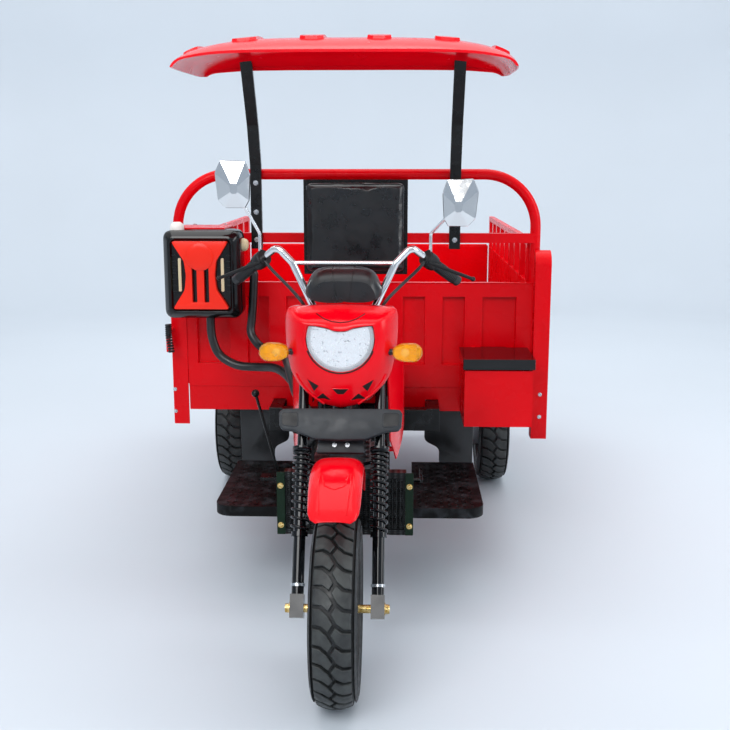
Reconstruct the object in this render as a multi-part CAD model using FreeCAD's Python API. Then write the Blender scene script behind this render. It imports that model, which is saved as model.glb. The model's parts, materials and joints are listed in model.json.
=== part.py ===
import FreeCAD, Part
import math
import os

# Three-wheeled cargo motorcycle: a motorcycle front end and saddle, an open
# pressed-steel cargo box on a rear axle, and a moulded roof over the rider.
# Millimetres, +Z up, front facing -Y, ground at z = 0. Stations along Y are
# measured from the front axle; the export moves the origin to the middle of
# the footprint.

V = FreeCAD.Vector
os.makedirs("parts", exist_ok=True)

# General clearances and sheet
cut_overrun = 10.0
seat_gap = 0.3
running_gap = 0.05
moving_gap = 5.0
sheet = 3.0

# Stance
wheelbase = 2150.0
rear_track = 1228.0
rear_overhang = 925.0

# Tyres and rims
front_tyre_r = 272.5
front_tyre_width = 131.0
rear_tyre_r = 284.0
rear_tyre_width = 140.0
rim_r = 157.0
rim_width = 96.0
rim_wall = 4.0
rim_flange = 11.0
disc_dish = 22.0
vent_r = 13.0
vent_count = 8
tread_blocks = 32
groove_width = 9.0
groove_depth = 10.0
tyre_wall = 12.0

# Fork and steering
rake_deg = 27.0
fork_offset = 35.0
fork_spacing = 228.0
leg_r = 17.5
stanchion_r = 15.0
leg_top = 785.0
leg_foot = 28.0
dropout_height = 66.0
dropout_width = 39.0
dropout_depth = 46.0
spring_bottom = 214.0
spring_height = 249.0
spring_r = 27.5
spring_wire_r = 4.5
spring_turns = 12
spring_steps = 8
spring_ease = 0.35
collar_height = 14.0
collar_r = 28.5
lower_clamp_at = 505.0
upper_clamp_at = 762.0
clamp_height = 30.0
stem_r = 13.0
head_tube_r = 29.0
head_bore_r = 20.0
race_height = 16.0
head_gap = 0.4
axle_r = 7.5
axle_spacer_r = 12.0
axle_nut_r = 12.5
axle_nut_height = 14.0
hub_r = 62.0
hub_width = 104.0
hub_core_r = 26.0

# Handlebar, controls and mirrors
bar_r = 11.0
bar_bend = 48.0
bar_foot_x = 62.0
bar_foot_ahead = 4.0
bar_foot_along = 840.0
bar_rise_x = 158.0
bar_rise_y = 425.0
bar_rise_z = 1208.0
bar_knee_x = 205.0
bar_knee_y = 432.0
bar_knee_z = 1256.0
bar_end_x = 352.0
bar_end_y = 565.0
bar_end_z = 1140.0
crossbar_r = 6.5
grip_r = 16.5
grip_length = 118.0
grip_gap = 2.0
switch_length = 44.0
switch_r = 24.0
lever_r = 5.5
cable_r = 5.0
cable_foot_x = 85.0
mirror_width = 108.0
mirror_height = 142.0
mirror_depth = 34.0
mirror_stem_r = 5.0
mirror_corner_share = 0.32
mirror_boss_share = 0.22
riser_r = 14.0
riser_share = 0.6

# Headlamp fairing, lamp, dash hood and front plate
fairing_front_y = 196.0
fairing_depth = 136.0
fairing_half_width = 169.0
fairing_top_z = 1092.0
fairing_tip_z = 816.0
fairing_wall = 4.0
lens_r = 98.0
lens_z = 1012.0
lens_dome = 16.0
bowl_depth = 74.0
bowl_back_r = 42.0
hood_half_width = 115.0
hood_y = 352.0
hood_depth = 104.0
hood_bottom_z = 1098.0
hood_height = 100.0
hood_crease = 3.0
plate_width = 352.0
plate_height = 92.0
plate_thick = 26.0
plate_wall = 3.0
signal_length = 88.0
signal_height = 54.0
signal_round = 7.0
signal_depth = 48.0
signal_x = 150.0
signal_y = 205.0
signal_z = 968.0
signal_stalk_r = 8.0

# Front mudguard
fender_width = 150.0
fender_r = 300.0
fender_centre_y = 60.0
fender_centre_z = 405.0
fender_front_deg = 45.0
fender_rear_deg = 58.0
fender_wall = 3.0
fender_skirt = 34.0
fender_crown = 26.0
fender_steps = 6
fender_bead_r = 3.5
fender_corner = 42.0

# Frame tubes
tube_r = 17.0
tube_wall = 2.5
down_tube_x = 120.0
down_tube_knee_y = 505.0
rail_z = 318.0
cradle_end_y = 1080.0
backbone_r = 24.0
backbone_end_z = 604.0
backbone_z = 700.0
frame_bend = 60.0
chassis_rail_x = 300.0
chassis_rail_width = 50.0
chassis_rail_height = 90.0
chassis_rail_wall = 4.0

# Cargo box
box_front_y = 1250.0
box_half_width = 690.0
box_floor_z = 656.0
box_wall_depth = 24.0
box_wall_top = 1056.0
box_band_bottom = 1000.0
box_recess_bottom = 733.0
box_recess_edge = 652.0
box_skirt_top = 644.0
box_skirt_bottom = 546.0
side_top = 1220.0
side_wall_depth = 26.0
recess_pitch = 154.0
recess_width = 85.0
recess_first = 30.0
outer_recess_width = 129.0
side_bay = 215.0
side_rib_width = 46.0
floor_sheet = 3.0
cross_member_height = 62.0
cross_member_width = 44.0
cross_member_count = 5
post_width = 60.0
post_depth = 56.0
post_overlap = 5.0
left_post_foot = 452.0
left_post_top = 1182.0
right_post_foot = 489.0
latch_r = 9.0
tailgate_gap = 6.0
hinge_pin_r = 7.0
hinge_knuckle_r = 13.0
hinge_length = 90.0
hinge_spread = 430.0

# Guard hoop and cross rail
hoop_r = 20.0
hoop_wall = 2.5
hoop_top_z = 1486.0
hoop_overhang = 22.0
hoop_bend = 200.0
cross_rail_bottom = 1206.0
cross_rail_height = 37.0
cross_rail_depth = 30.0

# Seat, backrest and tank
seat_front_y = 770.0
seat_length = 380.0
seat_half_width = 165.0
seat_bottom_z = 745.0
seat_height = 82.0
pad_width = 400.0
pad_bottom_z = 1085.0
pad_height = 362.0
pad_thick = 48.0
back_plate = 4.0
tank_front_y = 505.0
tank_length = 250.0
tank_half_width = 118.0
tank_bottom_z = 745.0
tank_height = 225.0
shroud_wall = 4.0
shroud_x = 205.0
shroud_bow = 36.0
shroud_toe_deg = 9.0
shroud_front_y = 430.0
shroud_length = 330.0
shroud_bottom_z = 560.0
shroud_height = 345.0

# Engine and radiator
engine_half_width = 118.0
engine_front_y = 540.0
engine_length = 360.0
engine_height = 190.0
cylinder_width = 126.0
cylinder_height = 138.0
fin_count = 7
fin_proud = 12.0
fin_thick = 5.0
engine_port_x = 75.8
radiator_half_width = 192.0
radiator_y = 425.0
radiator_depth = 38.0
radiator_bottom = 335.0
radiator_height = 208.0
guard_width = 26.0

# Footboards and pedals
board_top_z = 345.0
board_inner_x = 222.0
board_outer_x = 466.0
board_front_y = 662.0
board_length = 560.0
board_thick = 4.0
board_skirt = 36.0
board_corner = 60.0
hand_lever_x = 348.0
hand_lever_y = 902.0
hand_lever_top = 691.0

# Battery box, air filter and roof
battery_x = 410.0
battery_width = 248.0
battery_front_y = 968.0
battery_bottom = 556.0
battery_height = 210.0
battery_wall = 3.0
lid_height = 43.0
lid_lip = 7.0
filter_x = 552.0
filter_y = 1000.0
filter_width = 282.0
filter_height = 322.0
filter_depth = 130.0
filter_bottom = 946.0
filter_bevel = 26.0
hose_r = 16.0
hose_port_y = 700.0
hose_port_z = 600.0
roof_half_width = 545.0
roof_front_y = 420.0
roof_length = 690.0
roof_lip_z = 1787.0
roof_crown = 118.0
roof_wall = 4.0
roof_rib_width = 88.0
roof_rib_height = 9.0
roof_lip = 14.0
roof_steps = 7
roof_post_x = 380.0
roof_post_width = 42.0
roof_post_depth = 22.0
roof_post_lean = 230.0

# Rear axle, springs and exhaust
axle_tube_r = 36.0
axle_tube_inset = 144.0
diff_r = 118.0
diff_width = 150.0
drum_r = 112.0
drum_width = 62.0
half_shaft_r = 17.0
leaf_x = 400.0
leaf_length = 900.0
leaf_width = 60.0
leaf_thick = 9.0
leaf_count = 6
leaf_rise = 88.0
prop_shaft_r = 30.0
muffler_r = 52.0
muffler_length = 460.0
tail_lamp_width = 150.0
tail_lamp_height = 62.0
tail_lamp_depth = 40.0


rear_end = wheelbase + rear_overhang
middle_station = (rear_end - front_tyre_r) / 2
rake = math.radians(rake_deg)
steer_up = V(0, math.sin(rake), math.cos(rake))
steer_ahead = V(0, -math.cos(rake), math.sin(rake))
front_hub = V(0, 0, front_tyre_r)
steer_foot = front_hub - steer_ahead * fork_offset
axle_tube_half = rear_track / 2 - axle_tube_inset
left_post_x = box_half_width - post_overlap
hoop_half_width = box_half_width + hoop_overhang
wall_back_y = box_front_y + box_wall_depth
box_rear_y = rear_end - hinge_knuckle_r * 2 - moving_gap
floor_under_z = box_floor_z - floor_sheet
chassis_rail_z = floor_under_z - cross_member_height - chassis_rail_height
chassis_front_y = cradle_end_y + tube_r + seat_gap
hoop_y = wall_back_y + seat_gap + hoop_r
hoop_front_y = hoop_y - hoop_r
side_front_y = hoop_y + hoop_r + seat_gap


def unit(vector):
    direction = V(vector)
    direction.normalize()
    return direction


def box(x0, x1, y0, y1, z0, z1):
    return Part.makeBox(x1 - x0, y1 - y0, z1 - z0, V(x0, y0, z0))


def rod(start, end, r, bore=0):
    axis = end - start
    solid = Part.makeCylinder(r, axis.Length, start, axis)
    if bore:
        back = unit(axis) * cut_overrun
        hole = Part.makeCylinder(bore, axis.Length + 2 * cut_overrun, start - back, axis)
        solid = solid.cut(hole)
    return solid


def polygon(points):
    return Part.Face(Part.makePolygon(list(points) + [points[0]]))


def prism_x(points, x0, x1):
    return polygon([V(x0, y, z) for y, z in points]).extrude(V(x1 - x0, 0, 0))


def prism_y(points, y0, y1):
    return polygon([V(x, y0, z) for x, z in points]).extrude(V(0, y1 - y0, 0))


def prism_z(points, z0, z1):
    return polygon([V(x, y, z0) for x, y in points]).extrude(V(0, 0, z1 - z0))


def lathe_x(points, y, z):
    """Turned solid about the wheel line through (y, z), from (x, radius) points."""
    face = polygon([V(x, y, z + r) for x, r in points])
    return face.revolve(V(0, y, z), V(1, 0, 0), 360)


def lathe(points, foot, axis):
    """Turned solid about an axis, from (along, radius) points."""
    side = V(1, 0, 0)
    face = polygon([foot + axis * a + side * r for a, r in points])
    return face.revolve(foot, axis, 360)


def fuse(first, *others):
    return first.multiFuse(list(others)).removeSplitter() if others else first


def mirrored(shape):
    return shape.mirror(V(0, 0, 0), V(1, 0, 0))


def both(shape):
    return [shape, mirrored(shape)]


def corner_bend(before, corner, after):
    """Largest tangent arc radius that a corner between two free runs allows."""
    shorter = min((corner - before).Length, (after - corner).Length)
    turn = (corner - before).getAngle(after - corner)
    return shorter * 0.45 / math.tan(turn / 2)


def smooth_edge(points):
    curve = Part.BSplineCurve()
    curve.interpolate(points)
    return curve.toShape()


def skin_wire(outer, inner):
    """Closed wire of two smooth edges that run the same way, joined by straight ends."""
    far = Part.LineSegment(outer[-1], inner[-1]).toShape()
    near = Part.LineSegment(inner[0], outer[0]).toShape()
    return Part.Wire([smooth_edge(outer), far, smooth_edge(inner), near])


def bent_path(points, bend=0):
    """Straight runs joined by tangent arcs, of one radius or as large as fits."""
    edges = []
    start = points[0]
    for before, corner, after in zip(points, points[1:], points[2:]):
        back = unit(before - corner)
        on = unit(after - corner)
        half = back.getAngle(on) / 2
        inward = unit(back + on)
        radius = bend or corner_bend(before, corner, after)
        centre = corner + inward * (radius / math.sin(half))
        first = corner + back * (radius / math.tan(half))
        last = corner + on * (radius / math.tan(half))
        edges.append(Part.LineSegment(start, first).toShape())
        edges.append(Part.Arc(first, centre - inward * radius, last).toShape())
        start = last
    edges.append(Part.LineSegment(start, points[-1]).toShape())
    return Part.Wire(edges)


def round_sweep(points, r, bend=0):
    path = bent_path(points, bend)
    axis = points[1] - points[0]
    profile = Part.Wire(Part.makeCircle(r, points[0], axis))
    return path.makePipeShell([profile], True, False)


def bent_tube(points, r, bend, wall=0):
    solid = round_sweep(points, r, bend)
    if wall:
        solid = solid.cut(round_sweep(points, r - wall, bend))
    return solid


def fork_point(x, ahead, along):
    return steer_foot + V(x, 0, 0) + steer_ahead * ahead + steer_up * along


def fork_block(x0, x1, ahead0, ahead1, along0, along1):
    """Block square to the steering axis."""
    corners = [
        fork_point(x0, ahead0, along0),
        fork_point(x0, ahead1, along0),
        fork_point(x0, ahead1, along1),
        fork_point(x0, ahead0, along1),
    ]
    return polygon(corners).extrude(V(x1 - x0, 0, 0))


def piece(name, *shapes):
    solids = []
    for shape in shapes:
        solids.extend(shape.Solids)
    whole = Part.makeCompound(solids)
    if not whole.isValid() or not solids:
        print("check", name, len(solids), whole.isValid())
    whole.translate(V(0, -middle_station, 0))
    whole.exportStep("parts/" + name + ".step")


def tyre(r, width, x, y):
    """Pneumatic tyre, open towards the rim."""
    half = width / 2
    bead = rim_width / 2 - rim_wall - seat_gap
    shoulder = r - width * 0.1
    belly = (r + rim_r) / 2
    outside = [
        (-bead, rim_r + seat_gap),
        (-bead, rim_r + rim_flange + seat_gap),
        (-half * 0.93, rim_r + rim_flange * 2),
        (-half, belly),
        (-half * 0.96, shoulder),
        (-half * 0.62, r),
        (half * 0.62, r),
        (half * 0.96, shoulder),
        (half, belly),
        (half * 0.93, rim_r + rim_flange * 2),
        (bead, rim_r + rim_flange + seat_gap),
        (bead, rim_r + seat_gap),
    ]
    inside = [
        (bead - tyre_wall, rim_r + seat_gap),
        (half - tyre_wall, belly),
        (half * 0.62, r - tyre_wall * 1.5),
        (-half * 0.62, r - tyre_wall * 1.5),
        (tyre_wall - half, belly),
        (tyre_wall - bead, rim_r + seat_gap),
    ]
    points = [(x + a, b) for a, b in outside + inside]
    carcass = lathe_x(points, y, r)
    return carcass.cut(tread_grooves(r, half, x, y))


groove_line_shares = (
    (1.08, 0.0),
    (0.55, 0.06),
    (0.15, 0.38),
    (-0.15, 0.88),
)


def tread_grooves(r, half, x, y):
    """Grooves that hook from each shoulder to a zigzag round the middle."""
    pitch = 2 * math.pi / tread_blocks
    line = [(half * a, r * pitch * b) for a, b in groove_line_shares]
    outline = [(a, b - groove_width / 2) for a, b in line]
    outline += [(a, b + groove_width / 2) for a, b in reversed(line)]
    grooves = []
    for side, start in ((1, 0), (-1, 0.5)):
        foot = V(x, y, 2 * r - groove_depth)
        shape = polygon([foot + V(side * a, b, 0) for a, b in outline])
        cutter = shape.extrude(V(0, 0, groove_depth + cut_overrun))
        for index in range(tread_blocks):
            turned = cutter.copy()
            turned.rotate(V(x, y, r), V(1, 0, 0), math.degrees(pitch * (index + start)))
            grooves.append(turned)
    return grooves


def rim_ring(x, y, z):
    half = rim_width / 2
    points = [
        (-half, rim_r + rim_flange),
        (-half, rim_r - rim_wall),
        (-half * 0.45, rim_r - rim_wall),
        (-half * 0.3, rim_r - rim_flange * 1.6),
        (half * 0.3, rim_r - rim_flange * 1.6),
        (half * 0.45, rim_r - rim_wall),
        (half, rim_r - rim_wall),
        (half, rim_r + rim_flange),
        (half - rim_wall, rim_r + rim_flange),
        (half - rim_wall, rim_r),
        (half * 0.42, rim_r),
        (half * 0.26, rim_r - rim_flange * 1.1),
        (-half * 0.26, rim_r - rim_flange * 1.1),
        (-half * 0.42, rim_r),
        (rim_wall - half, rim_r),
        (rim_wall - half, rim_r + rim_flange),
    ]
    return lathe_x([(x + a, b) for a, b in points], y, z)


def wheel_disc(x, y, z, centre_r, outward):
    """Dished pressed disc with a ring of round vents."""
    edge = rim_r - rim_flange * 1.3
    mid = (edge + centre_r) / 2
    face = [
        (0, centre_r),
        (0, centre_r + (edge - centre_r) * 0.25),
        (disc_dish * outward, mid),
        (disc_dish * outward * 0.4, edge),
    ]
    back = [(a - rim_wall * outward, b) for a, b in reversed(face)]
    disc = lathe_x([(x + a, b) for a, b in face + back], y, z)
    for index in range(vent_count):
        turn = 2 * math.pi * index / vent_count
        centre = V(x, y + mid * math.cos(turn), z + mid * math.sin(turn))
        reach = V(disc_dish * 3, 0, 0)
        disc = disc.cut(rod(centre - reach, centre + reach, vent_r))
    return disc


def front_wheel():
    piece("front_tyre", tyre(front_tyre_r, front_tyre_width, 0, 0))
    ring = rim_ring(0, 0, front_tyre_r)
    half = hub_width / 2
    hub = lathe_x(
        [
            (-half, hub_core_r),
            (-half * 0.8, hub_r),
            (half * 0.8, hub_r),
            (half, hub_core_r),
            (half, axle_r + running_gap),
            (-half, axle_r + running_gap),
        ],
        0,
        front_tyre_r,
    )
    disc = wheel_disc(0, 0, front_tyre_r, hub_r - rim_wall, 1)
    piece("front_rim", fuse(ring, disc, hub))


def rear_wheels():
    for name, side in (("left", 1), ("right", -1)):
        x = side * rear_track / 2
        z = rear_tyre_r
        piece("rear_tyre_" + name, tyre(rear_tyre_r, rear_tyre_width, x, wheelbase))
        ring = rim_ring(x, wheelbase, z)
        disc = wheel_disc(x, wheelbase, z, hub_core_r, -side)
        drum_x = x - side * (disc_dish + rim_wall)
        drum_end = drum_x - side * drum_width
        drum = rod(V(drum_end, wheelbase, z), V(x, wheelbase, z), drum_r * 0.62)
        flange = rod(V(drum_end, wheelbase, z), V(drum_x, wheelbase, z), drum_r)
        cap = rod(V(x, wheelbase, z), V(x + side * rim_width * 0.3, wheelbase, z), hub_core_r + rim_wall)
        shaft_end = side * (axle_tube_half - leaf_width)
        shaft = rod(V(shaft_end, wheelbase, z), V(drum_end, wheelbase, z), half_shaft_r)
        piece("rear_rim_" + name, fuse(ring, disc, drum, flange, cap, shaft))


def fork():
    legs = []
    for side in (1, -1):
        x = side * fork_spacing / 2
        foot = fork_point(x, fork_offset, -leg_foot)
        leg = rod(foot, fork_point(x, fork_offset, spring_bottom + spring_height), leg_r)
        upper = rod(
            fork_point(x, fork_offset, spring_bottom + spring_height),
            fork_point(x, fork_offset, leg_top),
            stanchion_r,
        )
        half_depth = dropout_depth / 2
        half_width = dropout_width / 2
        dropout = fork_block(
            x - half_width,
            x + half_width,
            fork_offset - half_depth,
            fork_offset + half_depth,
            -leg_foot,
            dropout_height - leg_foot,
        )
        seat = rod(
            fork_point(x, fork_offset, spring_bottom - collar_height),
            fork_point(x, fork_offset, spring_bottom),
            collar_r - spring_wire_r,
        )
        leg = fuse(leg, upper, dropout, seat)
        reach = V(fork_spacing, 0, 0)
        leg = leg.cut(rod(front_hub - reach, front_hub + reach, axle_r))
        legs.append(leg)
    piece("fork", fuse(steering_clamps(), *legs))

    springs = []
    for side in (1, -1):
        foot = fork_point(side * fork_spacing / 2, fork_offset, spring_bottom)
        low = spring_height - collar_height
        cap = lathe(
            [
                (low, leg_r + seat_gap),
                (low, spring_r),
                (low + collar_height * 0.3, collar_r),
                (low + collar_height * 0.45, spring_r),
                (low + collar_height * 0.6, collar_r),
                (spring_height, collar_r),
                (spring_height, leg_r + seat_gap),
            ],
            foot,
            steer_up,
        )
        springs.append(fuse(cap, spring_coil(foot)))
    piece("fork_springs", *springs)


def spring_coil(foot):
    """Round-wire compression spring whose coils lie closer towards the top."""
    r = spring_r - spring_wire_r
    start = spring_wire_r + seat_gap
    tall = spring_height - collar_height + spring_wire_r * 0.5 - start
    steps = spring_turns * spring_steps
    ahead = steer_ahead
    points = []
    for step in range(steps + 1):
        share = step / steps
        turn = 2 * math.pi * spring_turns * share
        along = start + tall * (share + spring_ease * share * (1 - share))
        across = V(r * math.cos(turn), 0, 0)
        points.append(foot + across + ahead * (r * math.sin(turn)) + steer_up * along)
    path = Part.Wire([smooth_edge(points)])
    profile = Part.Wire([Part.makeCircle(spring_wire_r, points[0], points[1] - points[0])])
    return path.makePipeShell([profile], True, True)


def clamp(along, rear_reach):
    """Triple clamp: a waisted plate around both stanchions and the stem."""
    half = fork_spacing / 2
    lobe = stanchion_r * 2
    low = along
    high = along + clamp_height
    outline = [
        (-half, fork_offset + lobe),
        (half, fork_offset + lobe),
        (half + lobe, fork_offset),
        (half, fork_offset - lobe),
        (stem_r * 2, -rear_reach),
        (-stem_r * 2, -rear_reach),
        (-half, fork_offset - lobe),
        (-half - lobe, fork_offset),
    ]
    face = polygon([fork_point(x, ahead, low) for x, ahead in outline])
    plate = face.extrude(steer_up * (high - low))
    return plate


def steering_clamps():
    lower = clamp(lower_clamp_at, stem_r * 2)
    upper = clamp(upper_clamp_at, stem_r * 2)
    stem = rod(fork_point(0, 0, lower_clamp_at), fork_point(0, 0, upper_clamp_at + clamp_height), stem_r)
    return fuse(lower, upper, stem)


def front_axle():
    half = fork_spacing / 2
    outer = half + dropout_width / 2
    inner = half - dropout_width / 2
    end = outer + axle_nut_height
    shaft = rod(V(-end, 0, front_tyre_r), V(end, 0, front_tyre_r), axle_r)
    parts = [shaft]
    for side in (1, -1):
        nut_from = V(side * outer, 0, front_tyre_r)
        nut_to = V(side * end, 0, front_tyre_r)
        parts.append(rod(nut_from, nut_to, axle_nut_r))
        spacer_from = V(side * (hub_width / 2 + seat_gap), 0, front_tyre_r)
        spacer_to = V(side * inner, 0, front_tyre_r)
        parts.append(rod(spacer_from, spacer_to, axle_spacer_r))
    piece("front_axle", fuse(*parts))


def front_fender():
    """Short crowned mudguard below the lower clamp, on an arc, with a rolled rim."""
    centre = V(0, fender_centre_y, fender_centre_z)

    def section(inset):
        half = fender_width / 2 - inset
        points = []
        for index in range(2 * fender_steps + 1):
            across = index / fender_steps - 1
            drop = fender_crown * (1 - math.sqrt(max(1 - abs(across) ** 3, 0)))
            points.append(V(half * math.sin(across * math.pi / 2), 0, fender_r - inset - drop))
        points[0].z = points[-1].z = fender_r - fender_skirt
        return [p + centre for p in points]

    outer = section(0)
    inner = section(fender_wall)
    face = Part.Face(skin_wire(outer, inner))
    face.rotate(centre, V(1, 0, 0), fender_front_deg)
    sweep = fender_front_deg + fender_rear_deg
    shell = face.revolve(centre, V(-1, 0, 0), sweep)
    bead_z = fender_r - fender_skirt + fender_bead_r
    beads = []
    for side in (1, -1):
        foot = centre + V(side * (fender_width / 2 - fender_bead_r), 0, bead_z)
        disc = Part.Face(Part.Wire([Part.makeCircle(fender_bead_r, foot, V(0, 1, 0))]))
        disc.rotate(centre, V(1, 0, 0), fender_front_deg)
        beads.append(disc.revolve(centre, V(-1, 0, 0), sweep))
    shell = fuse(shell, *beads)
    # the front corners are round seen from ahead
    turn = math.radians(fender_front_deg)
    low = fender_centre_z + (fender_r - fender_skirt) * math.cos(turn)
    half = fender_width / 2
    corner = fender_corner
    for side in (1, -1):
        block = box(half - corner, half + cut_overrun, -fender_r * 2, fender_centre_y, low - corner, low + corner)
        disc = Part.makeCylinder(corner, fender_r * 4, V(half - corner, -fender_r * 2, low + corner), V(0, 1, 0))
        trim = block.cut(disc)
        shell = shell.cut(trim if side > 0 else mirrored(trim))
    # stay that carries the crown up to the lower clamp
    roof = centre + V(0, 0, fender_r - fender_wall)
    stay = fork_block(
        -stem_r * 1.6,
        stem_r * 1.6,
        stem_r * 2 - fork_offset,
        stem_r,
        (roof - steer_foot).dot(steer_up) - fender_crown * 1.2,
        lower_clamp_at,
    )
    piece("front_fender", fuse(shell, stay))


def front_plate():
    """Shallow dished shield across the fork, left bare."""
    half = plate_width / 2
    top = 0
    ahead = fork_offset + spring_r + seat_gap * 10
    along = lower_clamp_at - clamp_height * 0.3
    outline = [
        (-half, 1.0),
        (half, 1.0),
        (half, 0.42),
        (half * 0.82, 0.30),
        (half * 0.62, 0.24),
        (half * 0.34, 0.0),
        (-half * 0.34, 0.0),
        (-half * 0.62, 0.24),
        (-half * 0.82, 0.30),
        (-half, 0.42),
    ]

    def plate(inset, ahead0, ahead1):
        grow = 1 - inset / half
        low = along + inset
        tall = plate_height - 2 * inset
        face = polygon([fork_point(x * grow, ahead0, low + share * tall) for x, share in outline])
        return face.extrude(steer_ahead * (ahead1 - ahead0))

    shell = plate(top, ahead, ahead + plate_thick)
    shell = shell.cut(plate(plate_wall, ahead - cut_overrun, ahead + plate_thick - plate_wall))
    bracket = fork_block(
        -half * 0.3,
        half * 0.3,
        fork_offset + stanchion_r * 2 + seat_gap,
        ahead + plate_thick - plate_wall,
        lower_clamp_at + clamp_height * 0.2,
        lower_clamp_at + clamp_height * 0.8,
    )
    piece("front_plate", fuse(shell, bracket))


def loop_wire(half_width, top, bottom, y, shares):
    """Closed smooth outline from (width share, height share) points on one side."""
    tall = top - bottom
    right = [V(half_width * a, y, bottom + tall * b) for a, b in shares]
    left = [V(-p.x, p.y, p.z) for p in reversed(right) if p.x > 0]
    curve = Part.BSplineCurve()
    curve.interpolate(right + left, PeriodicFlag=True)
    return Part.Wire(curve.toShape())


fairing_shares = (
    (0.0, 0.0),
    (0.16, 0.03),
    (0.42, 0.18),
    (0.72, 0.42),
    (0.90, 0.66),
    (1.0, 0.94),
    (0.84, 1.0),
    (0.42, 0.985),
    (0.0, 0.97),
)


def fairing_body(inset, overrun):
    """Loft from the lamp face back to the open rear edge."""
    rear_y = fairing_front_y + fairing_depth + overrun
    sections = (
        (0.0, 0.62, 0.30, 0.86),
        (0.22, 0.80, 0.06, 0.93),
        (0.6, 0.94, 0.0, 0.98),
        (1.0, 1.0, 0.10, 1.0),
    )
    wires = []
    tall = fairing_top_z - fairing_tip_z
    for depth_share, width_share, low_share, high_share in sections:
        y = fairing_front_y + inset + (rear_y - fairing_front_y - inset) * depth_share
        wires.append(
            loop_wire(
                fairing_half_width * width_share - inset,
                fairing_tip_z + tall * high_share - inset,
                fairing_tip_z + tall * low_share + inset,
                y,
                fairing_shares,
            )
        )
    return Part.makeLoft(wires, True, False)


groove_shares = (
    (0.0, 0.28),
    (0.2, 0.31),
    (0.42, 0.42),
    (0.6, 0.6),
    (0.66, 0.72),
)


def fairing():
    shell = fairing_body(0, 0)
    shell = shell.cut(fairing_body(fairing_wall, cut_overrun))
    window = rod(
        V(0, fairing_front_y - cut_overrun, lens_z),
        V(0, fairing_front_y + bowl_depth, lens_z),
        lens_r + seat_gap,
    )
    shell = shell.cut(window.cut(cowl_over_lens(0)))
    # lattice of vents in the chin, either side of a centre rib
    tall = lens_z - lens_r - fairing_tip_z
    vents = (
        ((0.30, 0.96), (0.52, 0.93), (0.88, 1.30), (0.80, 0.80), (0.62, 0.62)),
        ((0.08, 0.66), (0.20, 0.72), (0.34, 0.60), (0.10, 0.48)),
        ((0.12, 0.34), (0.42, 0.46), (0.20, 0.18)),
    )
    for vent in vents:
        outline = [(lens_r * a, fairing_tip_z + tall * b) for a, b in vent]
        hole = prism_y(outline, fairing_front_y - cut_overrun, fairing_front_y + fairing_depth * 0.7)
        for one in both(hole):
            shell = shell.cut(one)
    # crease between the cowl and the lamp surround
    line = [(lens_r * a, lens_z + lens_r * b) for a, b in groove_shares]
    right = prism_y(line + [(x, z - fairing_wall) for x, z in reversed(line)], 0, fairing_front_y + fairing_depth)
    skin = fairing_body(0, 0).cut(fairing_body(fairing_wall * 0.4, cut_overrun))
    for one in both(right.common(skin)):
        shell = shell.cut(one)
    half = fork_spacing / 2 + stanchion_r + moving_gap
    ahead = fork_offset + stanchion_r + moving_gap
    shell = shell.cut(fork_block(-half, half, -fork_spacing, ahead, 0, leg_top + fork_spacing))
    # lugs on the inside that seat on the fork tubes
    lug = stanchion_r / 2
    top = upper_clamp_at - seat_gap
    near = fork_offset + stanchion_r + seat_gap
    for side in (1, -1):
        x = side * fork_spacing / 2
        block = fork_block(x - lug, x + lug, near, ahead + fairing_wall * 2, top - clamp_height * 1.6, top)
        shell = shell.fuse(block)
    piece("fairing", max(shell.Solids, key=lambda solid: solid.Volume))


cowl_edge_shares = (
    (0.0, 0.47),
    (0.3, 0.52),
    (0.67, 0.74),
    (1.1, 1.1),
)


def cowl_over_lens(drop):
    """Everything above the dipped lower edge of the cowl."""
    edge = [(lens_r * a, lens_z + lens_r * b - drop) for a, b in cowl_edge_shares]
    edge += [(edge[-1][0], lens_z + lens_r * 1.2)]
    edge += [(-x, z) for x, z in reversed(edge) if x > 0]
    return prism_y(edge, fairing_front_y - lens_dome * 2, fairing_front_y + fairing_depth)


def headlamp():
    front = V(0, fairing_front_y, lens_z)
    glass = lathe(
        [
            (0, 0),
            (0, lens_r * 0.5),
            (lens_dome * 0.5, lens_r - seat_gap),
            (bowl_depth * 0.3, lens_r - seat_gap),
            (bowl_depth, bowl_back_r),
            (bowl_depth, 0),
        ],
        front - V(0, lens_dome * 0.5, 0),
        V(0, 1, 0),
    )
    piece("headlamp", glass.cut(cowl_over_lens(seat_gap)))


def turn_signals():
    lamps = []
    x0 = signal_x
    half = signal_height / 2
    outline = [
        (x0, -half * 0.5),
        (x0 + signal_length * 0.35, -half),
        (x0 + signal_length * 0.8, -half),
        (x0 + signal_length, -half * 0.45),
        (x0 + signal_length, half * 0.45),
        (x0 + signal_length * 0.8, half),
        (x0 + signal_length * 0.35, half),
        (x0, half * 0.5),
    ]
    body = prism_y([(x, signal_z + z) for x, z in outline], signal_y, signal_y + signal_depth)
    front_edges = [edge for edge in body.Edges if edge.BoundBox.YMax < signal_y + signal_depth * 0.5]
    body = body.makeFillet(signal_round, front_edges)
    stalk = rod(
        V(fairing_half_width * 0.7, signal_y + signal_depth * 0.5, signal_z),
        V(x0 + seat_gap, signal_y + signal_depth * 0.5, signal_z),
        signal_stalk_r,
    )
    stalk = stalk.cut(fairing_body(0, 0))
    lamps.extend(both(fuse(body, stalk)))
    piece("turn_signals", *lamps)


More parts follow.
